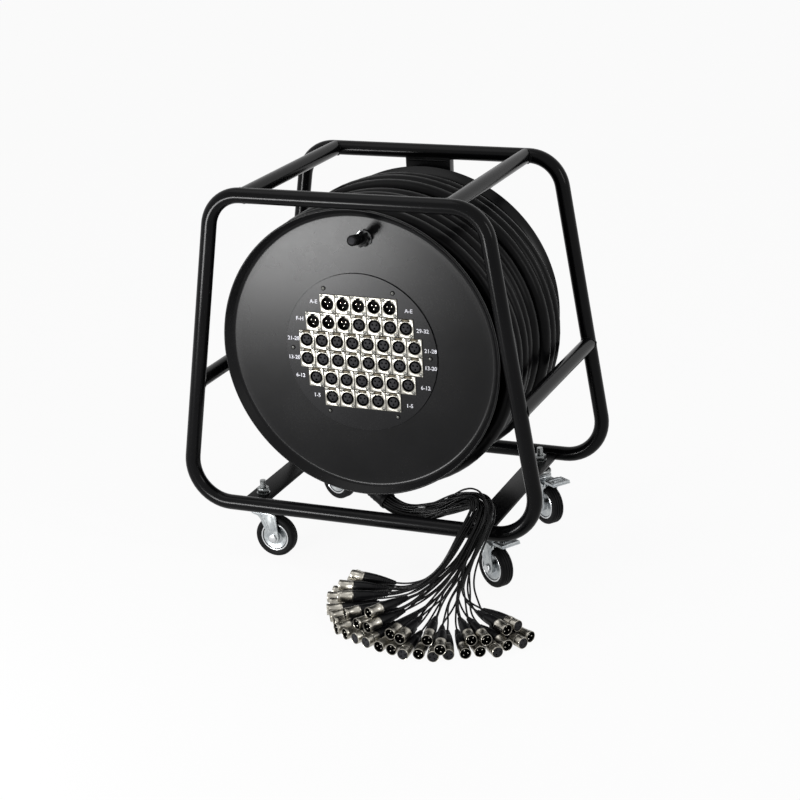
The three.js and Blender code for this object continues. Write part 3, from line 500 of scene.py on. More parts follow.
# Where each strand's plugs land around the fan's centre, as (degrees, reach, layer). The lowest layer is
# laid every seven degrees from the first.
LANDINGS = [[(first + 7 * i, reach, 0) for i, reach in enumerate(reaches)] + upper
            for first, reaches, upper in (
    (164, (184, 180, 183, 187, 190, 184, 188), [(174.5, 168, 1), (188.5, 173, 1), (202.5, 170, 1)]),
    (214, (185, 184, 190, 187, 184, 182), [(245.5, 168, 1), (224.5, 170, 1), (238.5, 172, 1), (242, 156, 2)]),
    (257, (182, 182, 190, 184, 190, 184),
     [(288.5, 200, 1), (260.5, 166, 1), (267.5, 174, 1), (281.5, 170, 1)]),
    (300, (184, 184, 196, 184, 192, 184),
     [(331.5, 168, 1), (303.5, 176, 1), (310.5, 182, 1), (324.5, 168, 1)]),
)]
FEMALE_PLUGS = {(2, 6), (2, 5), (3, 3), (3, 5), (3, 6), (4, 3), (4, 5), (4, 7)}


class Route:
    """A smooth line through points, read by its share of length."""

    def __init__(self, points):
        points = [Vector(p) for p in points]
        ends = [points[0] * 2 - points[1], *points, points[-1] * 2 - points[-2]]
        self.line = []
        for p0, p1, p2, p3 in zip(ends, ends[1:], ends[2:], ends[3:]):
            gaps = [max(0.1, (b - a).length) ** 0.5 for a, b in ((p0, p1), (p1, p2), (p2, p3))]
            leave = (p1 - p0) / gaps[0] - (p2 - p0) / (gaps[0] + gaps[1]) + (p2 - p1) / gaps[1]
            arrive = (p2 - p1) / gaps[1] - (p3 - p1) / (gaps[1] + gaps[2]) + (p3 - p2) / gaps[2]
            leave, arrive = leave * gaps[1], arrive * gaps[1]
            for k in range(24):
                t = k / 24
                self.line.append(p1 + leave * t + (p1 * -3 + p2 * 3 - leave * 2 - arrive) * t ** 2
                                 + (p1 * 2 - p2 * 2 + leave + arrive) * t ** 3)
        self.line.append(points[-1])
        self.reach = [0]
        for a, b in zip(self.line, self.line[1:]):
            self.reach.append(self.reach[-1] + (b - a).length)

    def at(self, share):
        goal = share * self.reach[-1]
        i = max(1, next((k for k, r in enumerate(self.reach) if r >= goal), len(self.reach) - 1))
        a, b = self.line[i - 1], self.line[i]
        step = self.reach[i] - self.reach[i - 1]
        return a.lerp(b, (goal - self.reach[i - 1]) / step), (b - a).normalized()


def bundle_places():
    """Forty places in the boot's mouth, packed like the ends of a tied bundle, ten to a strand."""
    spots = [(x, y) for y in range(-3, 4) for x in range(-6, 7)
             if (x + y) % 2 == 0 and abs(x) + abs(y) <= 6]
    spots += [(0, 3.62), (5.481, -1.85), (-5.481, -1.85)]
    spots = [(x * 1.93, y * 3.3) for x, y in spots]
    around = sorted(spots, key=lambda s: atan2(s[1], s[0]) % (2 * pi))
    return [around[first:first + 10] for first in (0, 30, 20, 10)]


def paired(starts, ends):
    """Order the starts so that the tails of a strand cross as little as they can."""
    middle = [sum(s[k] for s in starts) / len(starts) for k in (0, 1)]
    order = list(starts)

    def cost(i, j):
        return sum((order[i][k] - middle[k] - ends[j][k] * TAIL_PITCH) ** 2 for k in (0, 1))

    for _ in range(12):
        for i in range(len(order)):
            for j in range(i):
                if cost(i, j) + cost(j, i) < cost(i, i) + cost(j, j):
                    order[i], order[j] = order[j], order[i]
    return order


def bezier(points, t):
    a, b, c, d = points
    s = 1 - t
    return a * s ** 3 + b * (3 * s * s * t) + c * (3 * s * t * t) + d * t ** 3


def tail_line(route, start, strand, k):
    """A tail's points, from inside the boot along the bundle and down to the back of its plug."""
    end = (STRAND_ENDS[strand][0] * 0.66 - 4 + TAIL_PLACES[k][0] * TAIL_PITCH + CHANCE.uniform(-8, 8),
           STRAND_ENDS[strand][1] + TAIL_PLACES[k][1] * TAIL_PITCH + CHANCE.uniform(-6, 6))
    angle, reach, layer = LANDINGS[strand][k]
    outward = Vector((cos(radians(angle)), sin(radians(angle)), 0))
    across = Vector((-outward.y, outward.x, 0))
    tip = Vector((*FAN_CENTRE, 9.5 + LAYER_HEIGHT * layer)) + outward * reach
    waves = [(CHANCE.uniform(1, 2.8), CHANCE.uniform(0, 6.28)) for _ in range(2)]
    swing = CHANCE.uniform(-13, 13)
    ripple, phase = CHANCE.uniform(-5, 5), CHANCE.uniform(0, 6.28)
    arch = 9 if (strand, k) in ARCHED_TAILS else CHANCE.uniform(-1, 3)
    points = []
    for i in range(17):
        share = i / 16
        centre, heading = route.at(share)
        side = heading.cross(UP).normalized()
        spread = smoothstep(share, 0.5, 1)
        loose = 4.8 * sin(pi * share) ** 1.2
        out, rise = [start[axis] + (end[axis] - start[axis]) * spread + loose * sin(pace * 6.28 * share + lag)
                     for axis, (pace, lag) in enumerate(waves)]
        rise += arch * exp(-((share - 0.62) / 0.11) ** 2)
        points.append(centre + side * out + side.cross(heading) * rise)
    _, heading = route.at(1)
    fall = (points[-1], points[-1] + heading * 70,
            tip - outward * (PLUG_LENGTH + 40), tip - outward * PLUG_LENGTH)
    for i in range(1, 13):
        t = i / 13
        point = bezier(fall, t)
        free = sin(pi * min(1, t / 0.86)) ** 2
        point += across * (swing * free + ripple * free * sin(11 * t + phase))
        point.z = max(TAIL_RADIUS + 0.4 + 13 * layer * smoothstep(t, 0.55, 0.95), point.z)
        points.append(point)
    points += [tip - outward * (PLUG_LENGTH - inside) for inside in (0, 9, 20)]
    for _ in range(3):
        middles = [a * 0.25 + b * 0.5 + c * 0.25 for a, b, c in zip(points, points[1:], points[2:])]
        points = [points[0], *middles, points[-1]]
    return points, tip, outward


def pin_places(turn):
    """Middles of a connector's three contacts."""
    angles = [radians(turn + step) for step in (0, 120, 240)]
    return [(4.2 * cos(angle), 4.2 * sin(angle)) for angle in angles]


def plug_shape(female):
    """A cable plug along +Z with its tip at 0: long ribbed boot, satin shell, pins or a holed insert."""
    ribs = []
    for i in range(6):
        low, radius = -78.4 + i * 3.7, 2.9 + i * 0.62
        ribs += [(radius - 0.1, low), (radius + 0.6, low + 0.35), (radius + 0.75, low + 1.9),
                 (radius + 0.1, low + 2.4)]
    boot = [(0, -80), (2.1, -80), (2.6, -79.2), *ribs, (6.9, -55.5), (7.6, -50), (8.3, -42), (8.8, -32),
            (8.9, -25.8), (8.4, -24.4), (0, -24.4)]
    pieces = [turned(boot, 24, PLUG_PLASTIC)]
    if female:
        shell = [(7.9, -24.6), (8.7, -24.9), (9.05, -24.2), (9.05, -12.9), (8.6, -12.6), (8.6, -11),
                 (9.05, -10.7), (9.05, -1.4), (8.9, -0.5), (8.5, -0.05), (8.2, -0.2), (8.05, -0.9),
                 (8.05, -3), (7, -4), (7, -24.6)]
        pieces.append(ring(8.62, 8.95, -12.5, -11.1, 28, BLACK_AND_PAINTED_SHADE))
        face = turned([(0, -6), (7.4, -6), (7.4, -0.9), (7.1, -0.55), (0, -0.55)], 28, INSERT_PLASTIC)
        for x, y in pin_places(90):
            face = cut(face, moved(drill(1.35, -5, 1, 12), x, y, 0))
            # Black discs at the bottoms of the contact holes: painted shade.
            pieces.append(moved(puck(1.3, -5.05, -4.7, 12, BLACK_AND_PAINTED_SHADE), x, y, 0))
        pieces.append(face)
        pieces.append(softened(block((4.8, 1.6, 8.6), (0, 8.5, -16.8), PLUG_NICKEL), 0.45))
    else:
        shell = [(7.9, -24.6), (8.7, -24.9), (9.05, -24.3), (9.05, -22.2), (8.75, -21.8), (8.7, -5.2),
                 (8.95, -4.8), (9.05, -4.2), (9.05, -0.9), (8.9, -0.3), (8.6, -0.02), (8.25, -0.25),
                 (8.15, -1), (8.15, -11.5), (7.2, -11.8), (7.2, -24.6)]
        pieces.append(puck(7.9, -13, -11, 24, BLACK_AND_PAINTED_SHADE))
        # A thin black sleeve inside the shell's bore: painted shade.
        painted_shade_lining = [(8.1, -11), (8.1, -2.2), (7.75, -2.2), (7.75, -11), (8.1, -11)]
        pieces.append(turned(painted_shade_lining, 28, BLACK_AND_PAINTED_SHADE))
        for x, y in pin_places(90):
            pin = [(0, -12), (1.15, -12), (1.15, -3.2), (0.9, -2.4), (0.35, -2), (0, -1.95)]
            pieces.append(moved(turned(pin, 12, CONTACT), x, y, 0))
        pieces.append(softened(block((2.6, 1, 7), (0, -8.9, -4.6), PLUG_NICKEL), 0.3, 1))
    return joined(*pieces, turned([*shell, shell[0]], 28, PLUG_NICKEL))


def lay_tails():
    route = Route([BOOT_MOUTH + BOOT_HEADING * 0.3, BOOT_MOUTH + BOOT_HEADING * 5.3, *BUNDLE_ROUTE])
    shapes = {female: plug_shape(female) for female in (False, True)}
    for strand, starts in enumerate(bundle_places()):
        for k, start in enumerate(paired(starts, TAIL_PLACES)):
            number = f"{strand * 10 + k + 1:02d}"
            points, tip, outward = tail_line(route, start, strand, k)
            node = f"tail_strand_{strand + 1}"
            female = (strand + 1, k + 1) in FEMALE_PLUGS
            side = facing(outward) @ Vector((0, 1, 0))
            upright = atan2(side.cross(UP).dot(outward), side.z)
            roll = Matrix.Rotation(upright + CHANCE.uniform(-1, 1) * (0.7 if female else 3.1), 4, "Z")
            plug = twin(shapes[female], shifted(*tip) @ facing(outward) @ roll)
            handed_in(plug, f"tail_plug_{number}", "frame", "nickel_plate", node)
            tail, line = round_curve(f"tail_{number}", "BEZIER", TAIL_RADIUS, 3)
            tail.data.resolution_u = 4
            line.bezier_points.add(len(points) - 1)
            for spot, point in zip(line.bezier_points, points):
                spot.co = point * MM
                spot.handle_left_type = spot.handle_right_type = "AUTO"
            tail.data.materials.append(TAIL_JACKET)
            handed_in(tail, f"tail_{number}", "frame", "cable_jacket", node)
            length = sum((b - a).length for a, b in zip(points, points[1:])) * MM
            tuple(points[0] * MM)
    discard(*shapes.values())


lay_tails()


# -------- frame

def hoop_line(y):
    """The hoop's closed centreline with round bends, as (x, y, z) points."""
    corners = [((227, 631), 58), ((-227, 631), 58), ((-310.3, 107), 66), ((310.3, 107), 66)]
    points = []
    for i, ((x, z), radius) in enumerate(corners):
        at = Vector((x, z))
        arrive = (at - Vector(corners[i - 1][0])).normalized()
        leave = (Vector(corners[(i + 1) % 4][0]) - at).normalized()
        turn = arrive.angle(leave)
        start = at - arrive * radius * tan(turn / 2)
        inward = (leave - arrive * leave.dot(arrive)).normalized()
        for k in range(15):
            angle = turn * k / 14
            spot = start + arrive * radius * sin(angle) + inward * radius * (1 - cos(angle))
            points.append((spot.x, y, spot.y))
    return points


def weld_bead(points, radius=1.2):
    """A hand-laid weld under the paint: a bead that swells and thins along its line."""
    shares = [1 + 0.22 * sin(i * 2.1) + 0.12 * sin(i * 0.7) for i in range(len(points))]
    return tube(points, radius, 8, True, shares, FRAME_PAINT)


def tube_weld(centre, rail, inward):
    """The saddle-shaped weld where a cross tube meets a rail of the same size."""
    rail = Vector(rail).normalized()
    across = rail.cross(Vector((0, 1, 0)))
    reach, rail_radius, highest = 12.9, 13, 641.8
    points = []
    for i in range(48):
        angle = i / 48 * 2 * pi
        out = reach * sin(angle)
        depth = sqrt(rail_radius ** 2 - out ** 2)
        point = Vector(centre) + rail * reach * cos(angle) + across * out + Vector((0, inward * depth, 0))
        point.z = min(point.z, highest)
        points.append(point)
    return weld_bead(points)


def make_frame():
    slope = 84 / 524
    crosses = {"top": (172, 631), "side": (311 - slope * 206, 313)}
    for name, sign in (("front_hoop", -1), ("rear_hoop", 1)):
        y = sign * HOOP_Y
        parts = [tube(hoop_line(y), TUBE_RADIUS, 40, True, None, FRAME_PAINT)]
        for side in (-1, 1):
            for (x, z), rail in zip(crosses.values(), ((1, 0, 0), (side * slope, 0, -1))):
                parts.append(tube_weld((side * x, y, z), rail, -sign))
        handed_in(joined(*parts), name + "_tube", "frame", "frame_coat", name)
    for side, sign in (("left", -1), ("right", 1)):
        for level, (x, z) in crosses.items():
            line = [(sign * x, y, z) for y in (-178, -60, 60, 178)]
            cross = tube(line, TUBE_RADIUS, 36, finish=FRAME_PAINT)
            handed_in(cross, f"{level}_cross_{side}", "frame", "frame_coat", f"{level}_cross_tube_{side}")
        middle = CASTOR_X[sign]
        parts = [softened(block((42, 350, 5), (middle, 0, 107), BAR_PAINT), 0.7, 3)]
        for y in (-168.4, 168.4):
            for z in (103.6, 110.4):
                line = [(middle + x, y, z + 0.3 * sin(x)) for x in range(-18, 19, 3)]
                parts.append(weld_bead(line, 1.3))
        handed_in(joined(*parts), f"castor_bar_{side}_flat", "frame", "frame_coat", f"castor_bar_{side}")
    section = [(-40, 172), (40, 172), (40, 190), (36, 190), (36, 176), (-36, 176), (-36, 190), (-40, 190)]
    channel = moved(pressed(section, 518, FRAME_PAINT), 0, 0, 110)
    parts = [softened(cut(channel, placed(drill(12.8, 150, 200, 48), TO_DRUM)), 0.9, 3)]
    for z, end in ((120.3, 1), (617.7, -1)):
        line = [(x, 171.4, z + end * 0.4 * sin(x)) for x in range(-38, 39, 4)]
        parts.append(weld_bead(line, 1.6))
    handed_in(joined(*parts), "rear_channel_upright", "frame", "frame_coat", "rear_channel")


make_frame()


# -------- drum

def hex_blank(flats, low, high, bore=0, finish=None):
    """A hexagon nut or head with its corners turned off at both ends."""
    corner = flats / 2 / cos(pi / 6)
    outline = [(corner * cos(pi / 3 * i), corner * sin(pi / 3 * i)) for i in range(6)]
    blank = moved(pressed(outline, high - low), 0, 0, low)
    chamfer = (corner - flats / 2) * 0.6
    face, wide = flats / 2 * 0.95, corner + 0.3
    lens = [(face, low - 0.01), (wide, low + chamfer), (wide, high - chamfer), (face, high + 0.01)]
    cut(blank, turned(lens, 48), operation="INTERSECT")
    if bore:
        cut(blank, drill(bore, low - 1, high + 1, 32))
    return softened(coated(blank, finish), 0.25, 2, 25)


def threaded(radius, low, high, pitch, finish, steps):
    """A threaded rod with a chamfered end."""
    stations = [(0, low), (radius - 0.5, low)]
    z = low
    while z + pitch < high - 1:
        stations += [(radius - 0.62, z + pitch * 0.1), (radius, z + pitch * 0.45), (radius, z + pitch * 0.6)]
        z += pitch
    stations += [(radius - 0.62, z + pitch * 0.1), (radius - 0.1, z + 0.8 * pitch),
                 (radius - 1.1, high), (0, high)]
    return turned(stations, steps, finish)


def flange_pan(window, face, out):
    """A pan: flat face, a fillet, a cone that flares outwards and a rolled edge."""
    fillet = [(225.5 + 9 * (sin(a) - tan(0.39)), face + out * 9 * (1 - cos(a)))
              for a in [radians(44) * k / 6 for k in range(7)]]
    rolled = [(234.4, 13.1), (235.2, 13.8), (236, 14), (236.9, 13.75), (237.4, 13.1), (237.5, 12.2),
              (237.5, 10.8), (237, 10), (236.2, 9.7), (229, 0.2), (226.8, -1.5), (224.5, -2), (window, -2),
              (window, 0)]
    rolled = [(radius, face + out * rise) for radius, rise in rolled]
    return placed(turned([(window, face), (212, face), *fillet, *rolled], 180, DRUM_PAINT), TO_DRUM)


def make_drum():
    for end, window, face, out in (("front", 111, -142, -1), ("rear", 33.5, 136, 1)):
        handed_in(flange_pan(window, face, out), f"{end}_flange_pan", "drum", "drum_coat", f"{end}_flange")
    shaft = [(0, 22), (11.6, 22), (12.4, 22.9), (12.4, 161.7), (29.2, 161.7), (30, 162.5), (30, 170.9),
             (29.2, 171.7), (12.4, 171.7), (12.4, 176), (0, 176)]
    spindle = joined(turned(shaft, 48, STEEL), threaded(12.4, 175, 192.2, 2, STEEL, 48))
    handed_in(placed(spindle, TO_DRUM), "spindle_shaft", "frame", "bright_steel", "spindle")
    washer = softened(ring(12.8, 23, 176.2, 178.4, 48, ZINC), 0.3)
    nut = joined(hex_blank(36, 178.5, 189.6, 12.1, ZINC), washer)
    handed_in(placed(nut, TO_DRUM), "spindle_nut_rear", "frame", "zinc_plate", "spindle_rear_nut")


make_drum()


# -------- connector panel

PLATE_FRONT = -146.3
PANEL_FRONT = -144.3
SOCKET_ROWS = [(5, 0), (3, 4), (0, 8), (0, 8), (0, 7), (0, 5)]
PITCH_X, PITCH_Z = 26.6, 31.3


def on_panel(x, y, z):
    """The place of a flat piece on the panel, x and z from the drum's axis."""
    return shifted(x, y, AXIS_HEIGHT + z) @ UPRIGHT


def cross_head(radius, height, finish):
    """A pan head screw with a cross recess; its top is at +height."""
    profile = [(0, 0), (radius, 0), (radius, height * 0.3), (radius * 0.86, height * 0.78),
               (radius * 0.5, height), (0, height)]
    head = turned(profile, 20, finish)
    for turn in (0, pi / 2):
        slot = block((radius * 1.25, radius * 0.26, height), (0, 0, height))
        head = cut(head, placed(slot, Matrix.Rotation(turn, 4, "Z")))
    return head


def socket_shape(female):
    """One panel socket facing +Z with its plate's front at 0: plate, raised collar, contacts, two screws."""
    plate = softened(block((PITCH_X - 0.8, PITCH_Z - 0.7, 1.5), (0, 0, -0.95), NICKEL), 1, 2, 80)
    plate = cut(plate, drill(10.6, -5, 3, 40))
    collar = [(10.6, -1.2), (10.6, -0.1), (10.9, 0.1), (11.5, 0.04), (12, -0.3), (12, -1.2), (10.6, -1.2)]
    collar = turned(collar, 40, NICKEL)
    well = [(10.6, -0.3), (10.6, -9), (0, -9), (0, -10.5), (11.2, -10.5), (11.2, -0.3), (10.6, -0.3)]
    parts = [turned(well, 32, BLACK_AND_PAINTED_SHADE)]
    for x, y in ((-9.4, 12.1), (9.4, -12.1)):
        plate = cut(plate, moved(turned([(2.45, -3), (2.45, -0.55), (3.1, 0.2)], 20), x, y, 0))
        parts.append(moved(cross_head(2.1, 0.9, SCREW_STEEL), x, y, -1.25))
        # A black disc under each screw head, showing as a dark ring in its recess: painted shade.
        parts.append(moved(puck(2.9, -1.9, -1.3, 16, BLACK_AND_PAINTED_SHADE), x, y, 0))
    if female:
        insert = [(0, -8.5), (7.5, -8.5), (7.5, -0.9), (7.2, -0.5), (6.8, -0.4), (0, -0.4)]
        insert = turned(insert, 36, INSERT_PLASTIC)
        for x, y in pin_places(-90):
            insert = cut(insert, moved(drill(1.45, -6, 1, 14), x, y, 0))
            # Black discs at the bottoms of the contact holes: painted shade.
            parts.append(moved(puck(1.4, -6, -5.6, 12, BLACK_AND_PAINTED_SHADE), x, y, 0))
        parts.append(insert)
        plate = cut(plate, softened(block((13.6, 4.4, 8), (0, 12.9, 0)), 0.8))
        # A black sheet behind the tab's cut-out in the plate: painted shade.
        parts.append(block((14.2, 4.8, 0.5), (0, 12.7, -2), BLACK_AND_PAINTED_SHADE))
        tab = [(-5.7, 14.7), (5.7, 14.7), (6.3, 13.4), (5.2, 11), (-5.2, 11), (-6.3, 13.4)]
        parts.append(softened(moved(pressed(tab, 1.2, BROWNED_STEEL), 0, 0, -1.7), 0.35))
    else:
        plate = cut(plate, softened(block((6.4, 4.6, 8), (0, 10.7, 0)), 0.5))
        collar = cut(collar, block((6.4, 5.4, 6), (0, 11, 0)))
        # A black sheet behind the key slot's cut-out: painted shade.
        parts.append(block((7.2, 4.8, 0.6), (0, 11, -2), BLACK_AND_PAINTED_SHADE))
        for x, y in pin_places(-90):
            pin = [(0, -9), (1, -9), (1, -2.2), (0.9, -1.6), (0.6, -1.3), (0, -1.25)]
            parts.append(moved(turned(pin, 14, CONTACT), x, y, 0))
    return joined(softened(plate, 0.22, 2, 40), collar, *parts)


def socket_places(row):
    """Where the sockets of a row sit, left to right, as (x, height above the axis)."""
    count = sum(SOCKET_ROWS[row])
    return [((i - (count - 1) / 2) * PITCH_X, (2.5 - row) * PITCH_Z) for i in range(count)]


def make_panel():
    rim = [(0, 142.3), (130.2, 142.3), (130.7, 142.8), (130.7, 143.8), (130.3, 144.3), (0, 144.3)]
    disc = turned(rim, 144, PANEL_PAINT)
    bore = drill(11.3, 141, 146, 32)
    bores = [twin(bore, shifted(x, z, 0)) for row in range(6) for x, z in socket_places(row)]
    disc = coated(cut(disc, joined(*bores)), PANEL_PAINT)
    parts = [smooth(placed(disc, on_panel(0, 0, 0)))]
    socket = [(0, 0), (3.7, 0), (3.7, 0.5), (3.3, 1), (0, 1)]
    head = joined(turned(socket, 24, BLACK_AND_PAINTED_SHADE), cross_head(2.4, 1.6, SCREW_STEEL))
    for i in range(6):
        angle = i * pi / 3
        place = on_panel(118.7 * cos(angle), PANEL_FRONT + 0.02, 118.7 * sin(angle))
        parts.append(twin(head, place @ Matrix.Rotation(0.7 * i, 4, "Z")))
    discard(bore, head)
    handed_in(joined(*parts), "panel_disc", "drum", "drum_coat", "connector_panel")


def make_sockets():
    shapes = {female: socket_shape(female) for female in (False, True)}
    for row, (males, _) in enumerate(SOCKET_ROWS):
        parts = [twin(shapes[i >= males], on_panel(x, PLATE_FRONT, z))
                 for i, (x, z) in enumerate(socket_places(row))]
        handed_in(joined(*parts), f"sockets_row_{row + 1}", "drum", "nickel_plate", f"socket_row_{row + 1}")
    discard(*shapes.values())


def make_labels():
    """Printed channel numbers at both ends of the rows."""
    labels = [
        ("A-E", -78, 79.5), ("A-E", 85, 75.2), ("F-H", -104, 49.5), ("29-32", 107.5, 44.2),
        ("21-28", -117, 15.4), ("21-28", 119.6, 12.2), ("13-20", -117.6, -16.5), ("13-20", 118.8, -16.3),
        ("6-12", -108.3, -46.6), ("6-12", 108.8, -49.7), ("1-5", -80.7, -78.1), ("1-5", 80.4, -82.2),
    ]
    letters = []
    for words, x, z in labels:
        text = primitive(bpy.ops.object.text_add).data
        text.body = words
        text.size = 9 * MM
        text.align_x = text.align_y = "CENTER"
        text.offset = 0.12 * MM
        text.extrude = 0.03 * MM
        text.resolution_u = 3
        bpy.ops.object.convert(target="MESH")
        letters.append(placed(coated(bpy.context.object, LETTER_INK), on_panel(x, PANEL_FRONT - 0.03, z)))
    handed_in(joined(*letters), "panel_letters", "drum", "drum_coat")


make_panel()
make_sockets()
make_labels()


# -------- winding knob

def make_knob():
    star = []
    for i in range(98):
        angle = i / 98 * 2 * pi
        radius = 11.9 + 1.1 * cos(7 * angle)
        star.append((radius * cos(angle), radius * sin(angle)))
    collar = softened(moved(pressed(star, 9, KNOB_PLASTIC), 0, 0, 1.6), 1.1, 4, 50)
    washer = softened(puck(13, 0.3, 1.7, 48, STEEL), 0.25)
    seat = shifted(14, -142, 563)
    leaning = seat @ facing((0.012896, -0.984808, 0.173169))
    base = placed(joined(washer, collar), seat @ facing((0, -1, 0)))
    neck = turned([(0, 4), (6.5, 4), (6.5, 18.8), (5.9, 20.4), (0, 20.4)], 36, KNOB_PLASTIC)
    boss = turned([(0, 8.6), (9.4, 8.6), (9.4, 12.2), (8.6, 13.2), (0, 13.2)], 40, KNOB_PLASTIC)
    bolt = joined(base, placed(neck, leaning), placed(softened(boss, 0.4), leaning))
    handed_in(bolt, "knob_collar", "drum", "knob_plastic", "knob_bolt")
    grip = [(0, 21), (6.2, 21), (6.6, 21.6), (7.3, 24), (8.1, 26.6), (8.5, 29), (8.5, 38.8), (8.1, 39.6),
            (7.7, 40.4), (7.7, 40.9), (8.1, 41.7), (8.5, 42.5), (8.5, 47.4), (8.1, 48.8), (7.2, 49.6),
            (6.4, 49.9), (6, 49.5), (0, 49.5)]
    grip = turned(grip, 48, KNOB_PLASTIC)
    cap = turned([(0, 49.4), (5.6, 49.4), (5.6, 49.75), (5, 49.9), (0, 49.9)], 28, INSERT_PLASTIC)
    handed_in(placed(joined(grip, cap), leaning), "knob_handle", "knob", "knob_plastic", "knob_grip")


make_knob()


# -------- cable on the drum

CABLE = 27.6
FIRST_TURN_Y = -122.9
TURN_PITCH = 28.615
LOOSE_RADIUS = 234
WINDING_TURNS = 8.25
COIL_END = 8.45


def coil_radius(turns, angle):
    """The outer layer's radius: pulled in at the start, slack in the middle and oval all along."""
    pull = 8 * max(0, 1 - turns / 2) + 9 * smoothstep(turns, 0.8, 2.2) * (1 - smoothstep(turns, 4.4, 6.2))
    pull += 1.6 * sin(1.9 * turns) + 1.1 * sin(5.3 * turns)
    sag = 4 * cos(angle + radians(30)) + 6 * cos(2 * (angle + radians(28)))
    return LOOSE_RADIUS - pull + sag - 34 * smoothstep(turns, WINDING_TURNS, COIL_END)


def coil_point(turns, inwards=0, shift=0):
    angle = radians(-104) - turns * 2 * pi
    radius = coil_radius(turns, angle) - inwards
    sway = 1.7 * sin(2.7 * turns) * sin(pi * min(1, turns / 8.2))
    y = FIRST_TURN_Y + turns * TURN_PITCH + shift + sway
    return Vector((radius * cos(angle), y, AXIS_HEIGHT + radius * sin(angle)))


def make_winding():
    count = round(COIL_END * 80)
    line = [coil_point(COIL_END * i / count) for i in range(count + 1)]
    line.insert(0, line[0] + (line[0] - line[1]).normalized() * CABLE)
    line.append(line[-1] + (line[-1] - line[-2]).normalized() * 20)
    cable = tube(line, CABLE / 2, 24, finish=MULTICORE)
    handed_in(cable, "multicore_outer_layer", "drum", "cable_jacket", "cable_winding")
    layers = (24.2, 14.3, 7.9), (48.4, 0, 8.2), (66.2, 14.3, 7.9)
    for layer, (inwards, shift, turns) in enumerate(layers):
        count = round(turns * 48)
        line = [coil_point(turns * i / count, inwards, shift) for i in range(count + 1)]
        lower = tube(line, CABLE / 2, 16, finish=MULTICORE)
        handed_in(lower, f"multicore_layer_{layer + 2}", "drum", "cable_jacket", "inner_cable_layers")


def make_boot():
    """The bent boot on the multicore's end: ribs along its back and a lip at its mouth."""
    heading = (coil_point(0) - coil_point(0.01)).normalized()
    start = coil_point(0) + heading * (CABLE + 0.3)
    handles = (start, start + heading * 26, BOOT_MOUTH - BOOT_HEADING * 26, BOOT_MOUTH)
    shares = []
    for i in range(41):
        swell = 14.2 + 0.4 * i / 40 + sin(pi * i / 40)
        rib = 0.55 if 4 < i < 30 and i % 4 in (0, 1) else 0
        lip = 0.7 if i > 36 else 0
        shares.append((swell - 0.6 + rib + lip) / 15)
    boot = tube([bezier(handles, i / 40) for i in range(41)], 15, 32, False, shares, BOOT_RUBBER)
    handed_in(boot, "fanout_boot_rubber", "drum", "boot_rubber", "fanout_boot")


make_winding()
make_boot()


# -------- castors

# Name, side, end, heading in degrees, and whether there is a brake.
CASTORS = [("front_left", -1, -1, 0, False), ("front_right", 1, -1, -33, True),
           ("rear_left", -1, 1, -22, False), ("rear_right", 1, 1, -36, True)]
TO_WHEEL = shifted(20, 0, 35) @ Matrix.Rotation(-pi / 2, 4, "X")
# Shape, piece, body, slot and node.
FITTINGS = [
    ("stem", "stem", "frame", "zinc_plate", "castor_stem"),
    ("nut", "stem_nut", "frame", "zinc_plate", "castor_nut"),
    ("fork", "pressed_fork", "fork", "zinc_plate", "castor_fork"),
    ("axle", "axle_bolt", "fork", "bright_steel", "castor_axle"),
    ("hub", "wheel_centre", "wheel", "bright_steel", "wheel_hub"),
    ("tyre", "tyre", "wheel", "tyre_rubber", "wheel_tyre"),
    ("pedal", "pedal", "pedal", "zinc_plate", "brake_pedal"),
]


def fork_shape(braked):
    """The pressed fork: a blank as wide as the fork, hollowed so that two legs hang from its crown."""
    ear = [(17.5, 79), (24, 77.4), (27, 73)]
    if braked:
        ear = [(34, 79), (34, 71.5), (31, 69.5), (28.2, 66), (28, 58)]
    sole = [(20 + 10 * cos(a), 35 + 10 * sin(a)) for a in [radians(8 - 14 * k) for k in range(15)]]
    outline = [(-17, 79), *ear, *sole, (6.8, 46), (1.5, 59), (-2.5, 68.5), (-6.5, 73.5), (-14, 75.6),
               (-18, 77.2)]
    blank = placed(pressed(outline, 32, ZINC), shifted(0, 16, 0) @ UPRIGHT)
    hollow = block((90, 27, 90), (10, 0, 76.5 - 45))
    parts = [softened(cut(beveled(blank, 2.6, 4, 80), hollow), 0.35, 2, 50)]
    for side in (-1, 1):
        for path in (((3, 0, 72), (8.5, 0, 61), (13, 0, 47)), ((19, 0, 74), (22, 0, 61), (23.5, 0, 47))):
            rib = tube(Route(path).line[::8], 2, 12, finish=ZINC)
            parts.append(placed(rib, shifted(0, side * 15.9, 0) @ Matrix.Diagonal((1, 0.38, 1, 1))))
    race = [(0, 78.8), (17.6, 78.8), (18.6, 79.4), (19, 80.4), (19, 83.4), (18.4, 84.6), (17.4, 85.2),
            (17.4, 86.6), (16.6, 87.6), (12, 88), (0, 88)]
    return joined(*parts, turned(race, 48, ZINC))


def stem_shape():
    race = [(0, 88.3), (17.8, 88.3), (18.8, 88.9), (19, 90), (18.7, 92.2), (17.4, 93.8), (14.5, 95.1),
            (11.2, 96.2), (9.6, 98), (9, 100.5), (9, 104.2), (0, 104.2)]
    head = [(0, 73.2), (6.4, 73.2), (7.5, 74.4), (7.5, 76.2), (0, 76.2)]
    return joined(turned(race, 48, DARKER_ZINC), turned(head, 24, DARKER_ZINC),
                  puck(5, 76, 88.4, 20, DARKER_ZINC), threaded(5, 104, 132.3, 1.5, DARKER_ZINC, 28))


def nut_shape():
    washer = softened(ring(5.4, 11.4, 109.6, 110.9, 32, DARKER_ZINC), 0.2)
    return joined(hex_blank(18.4, 110.95, 119.4, 4.9, DARKER_ZINC), washer)


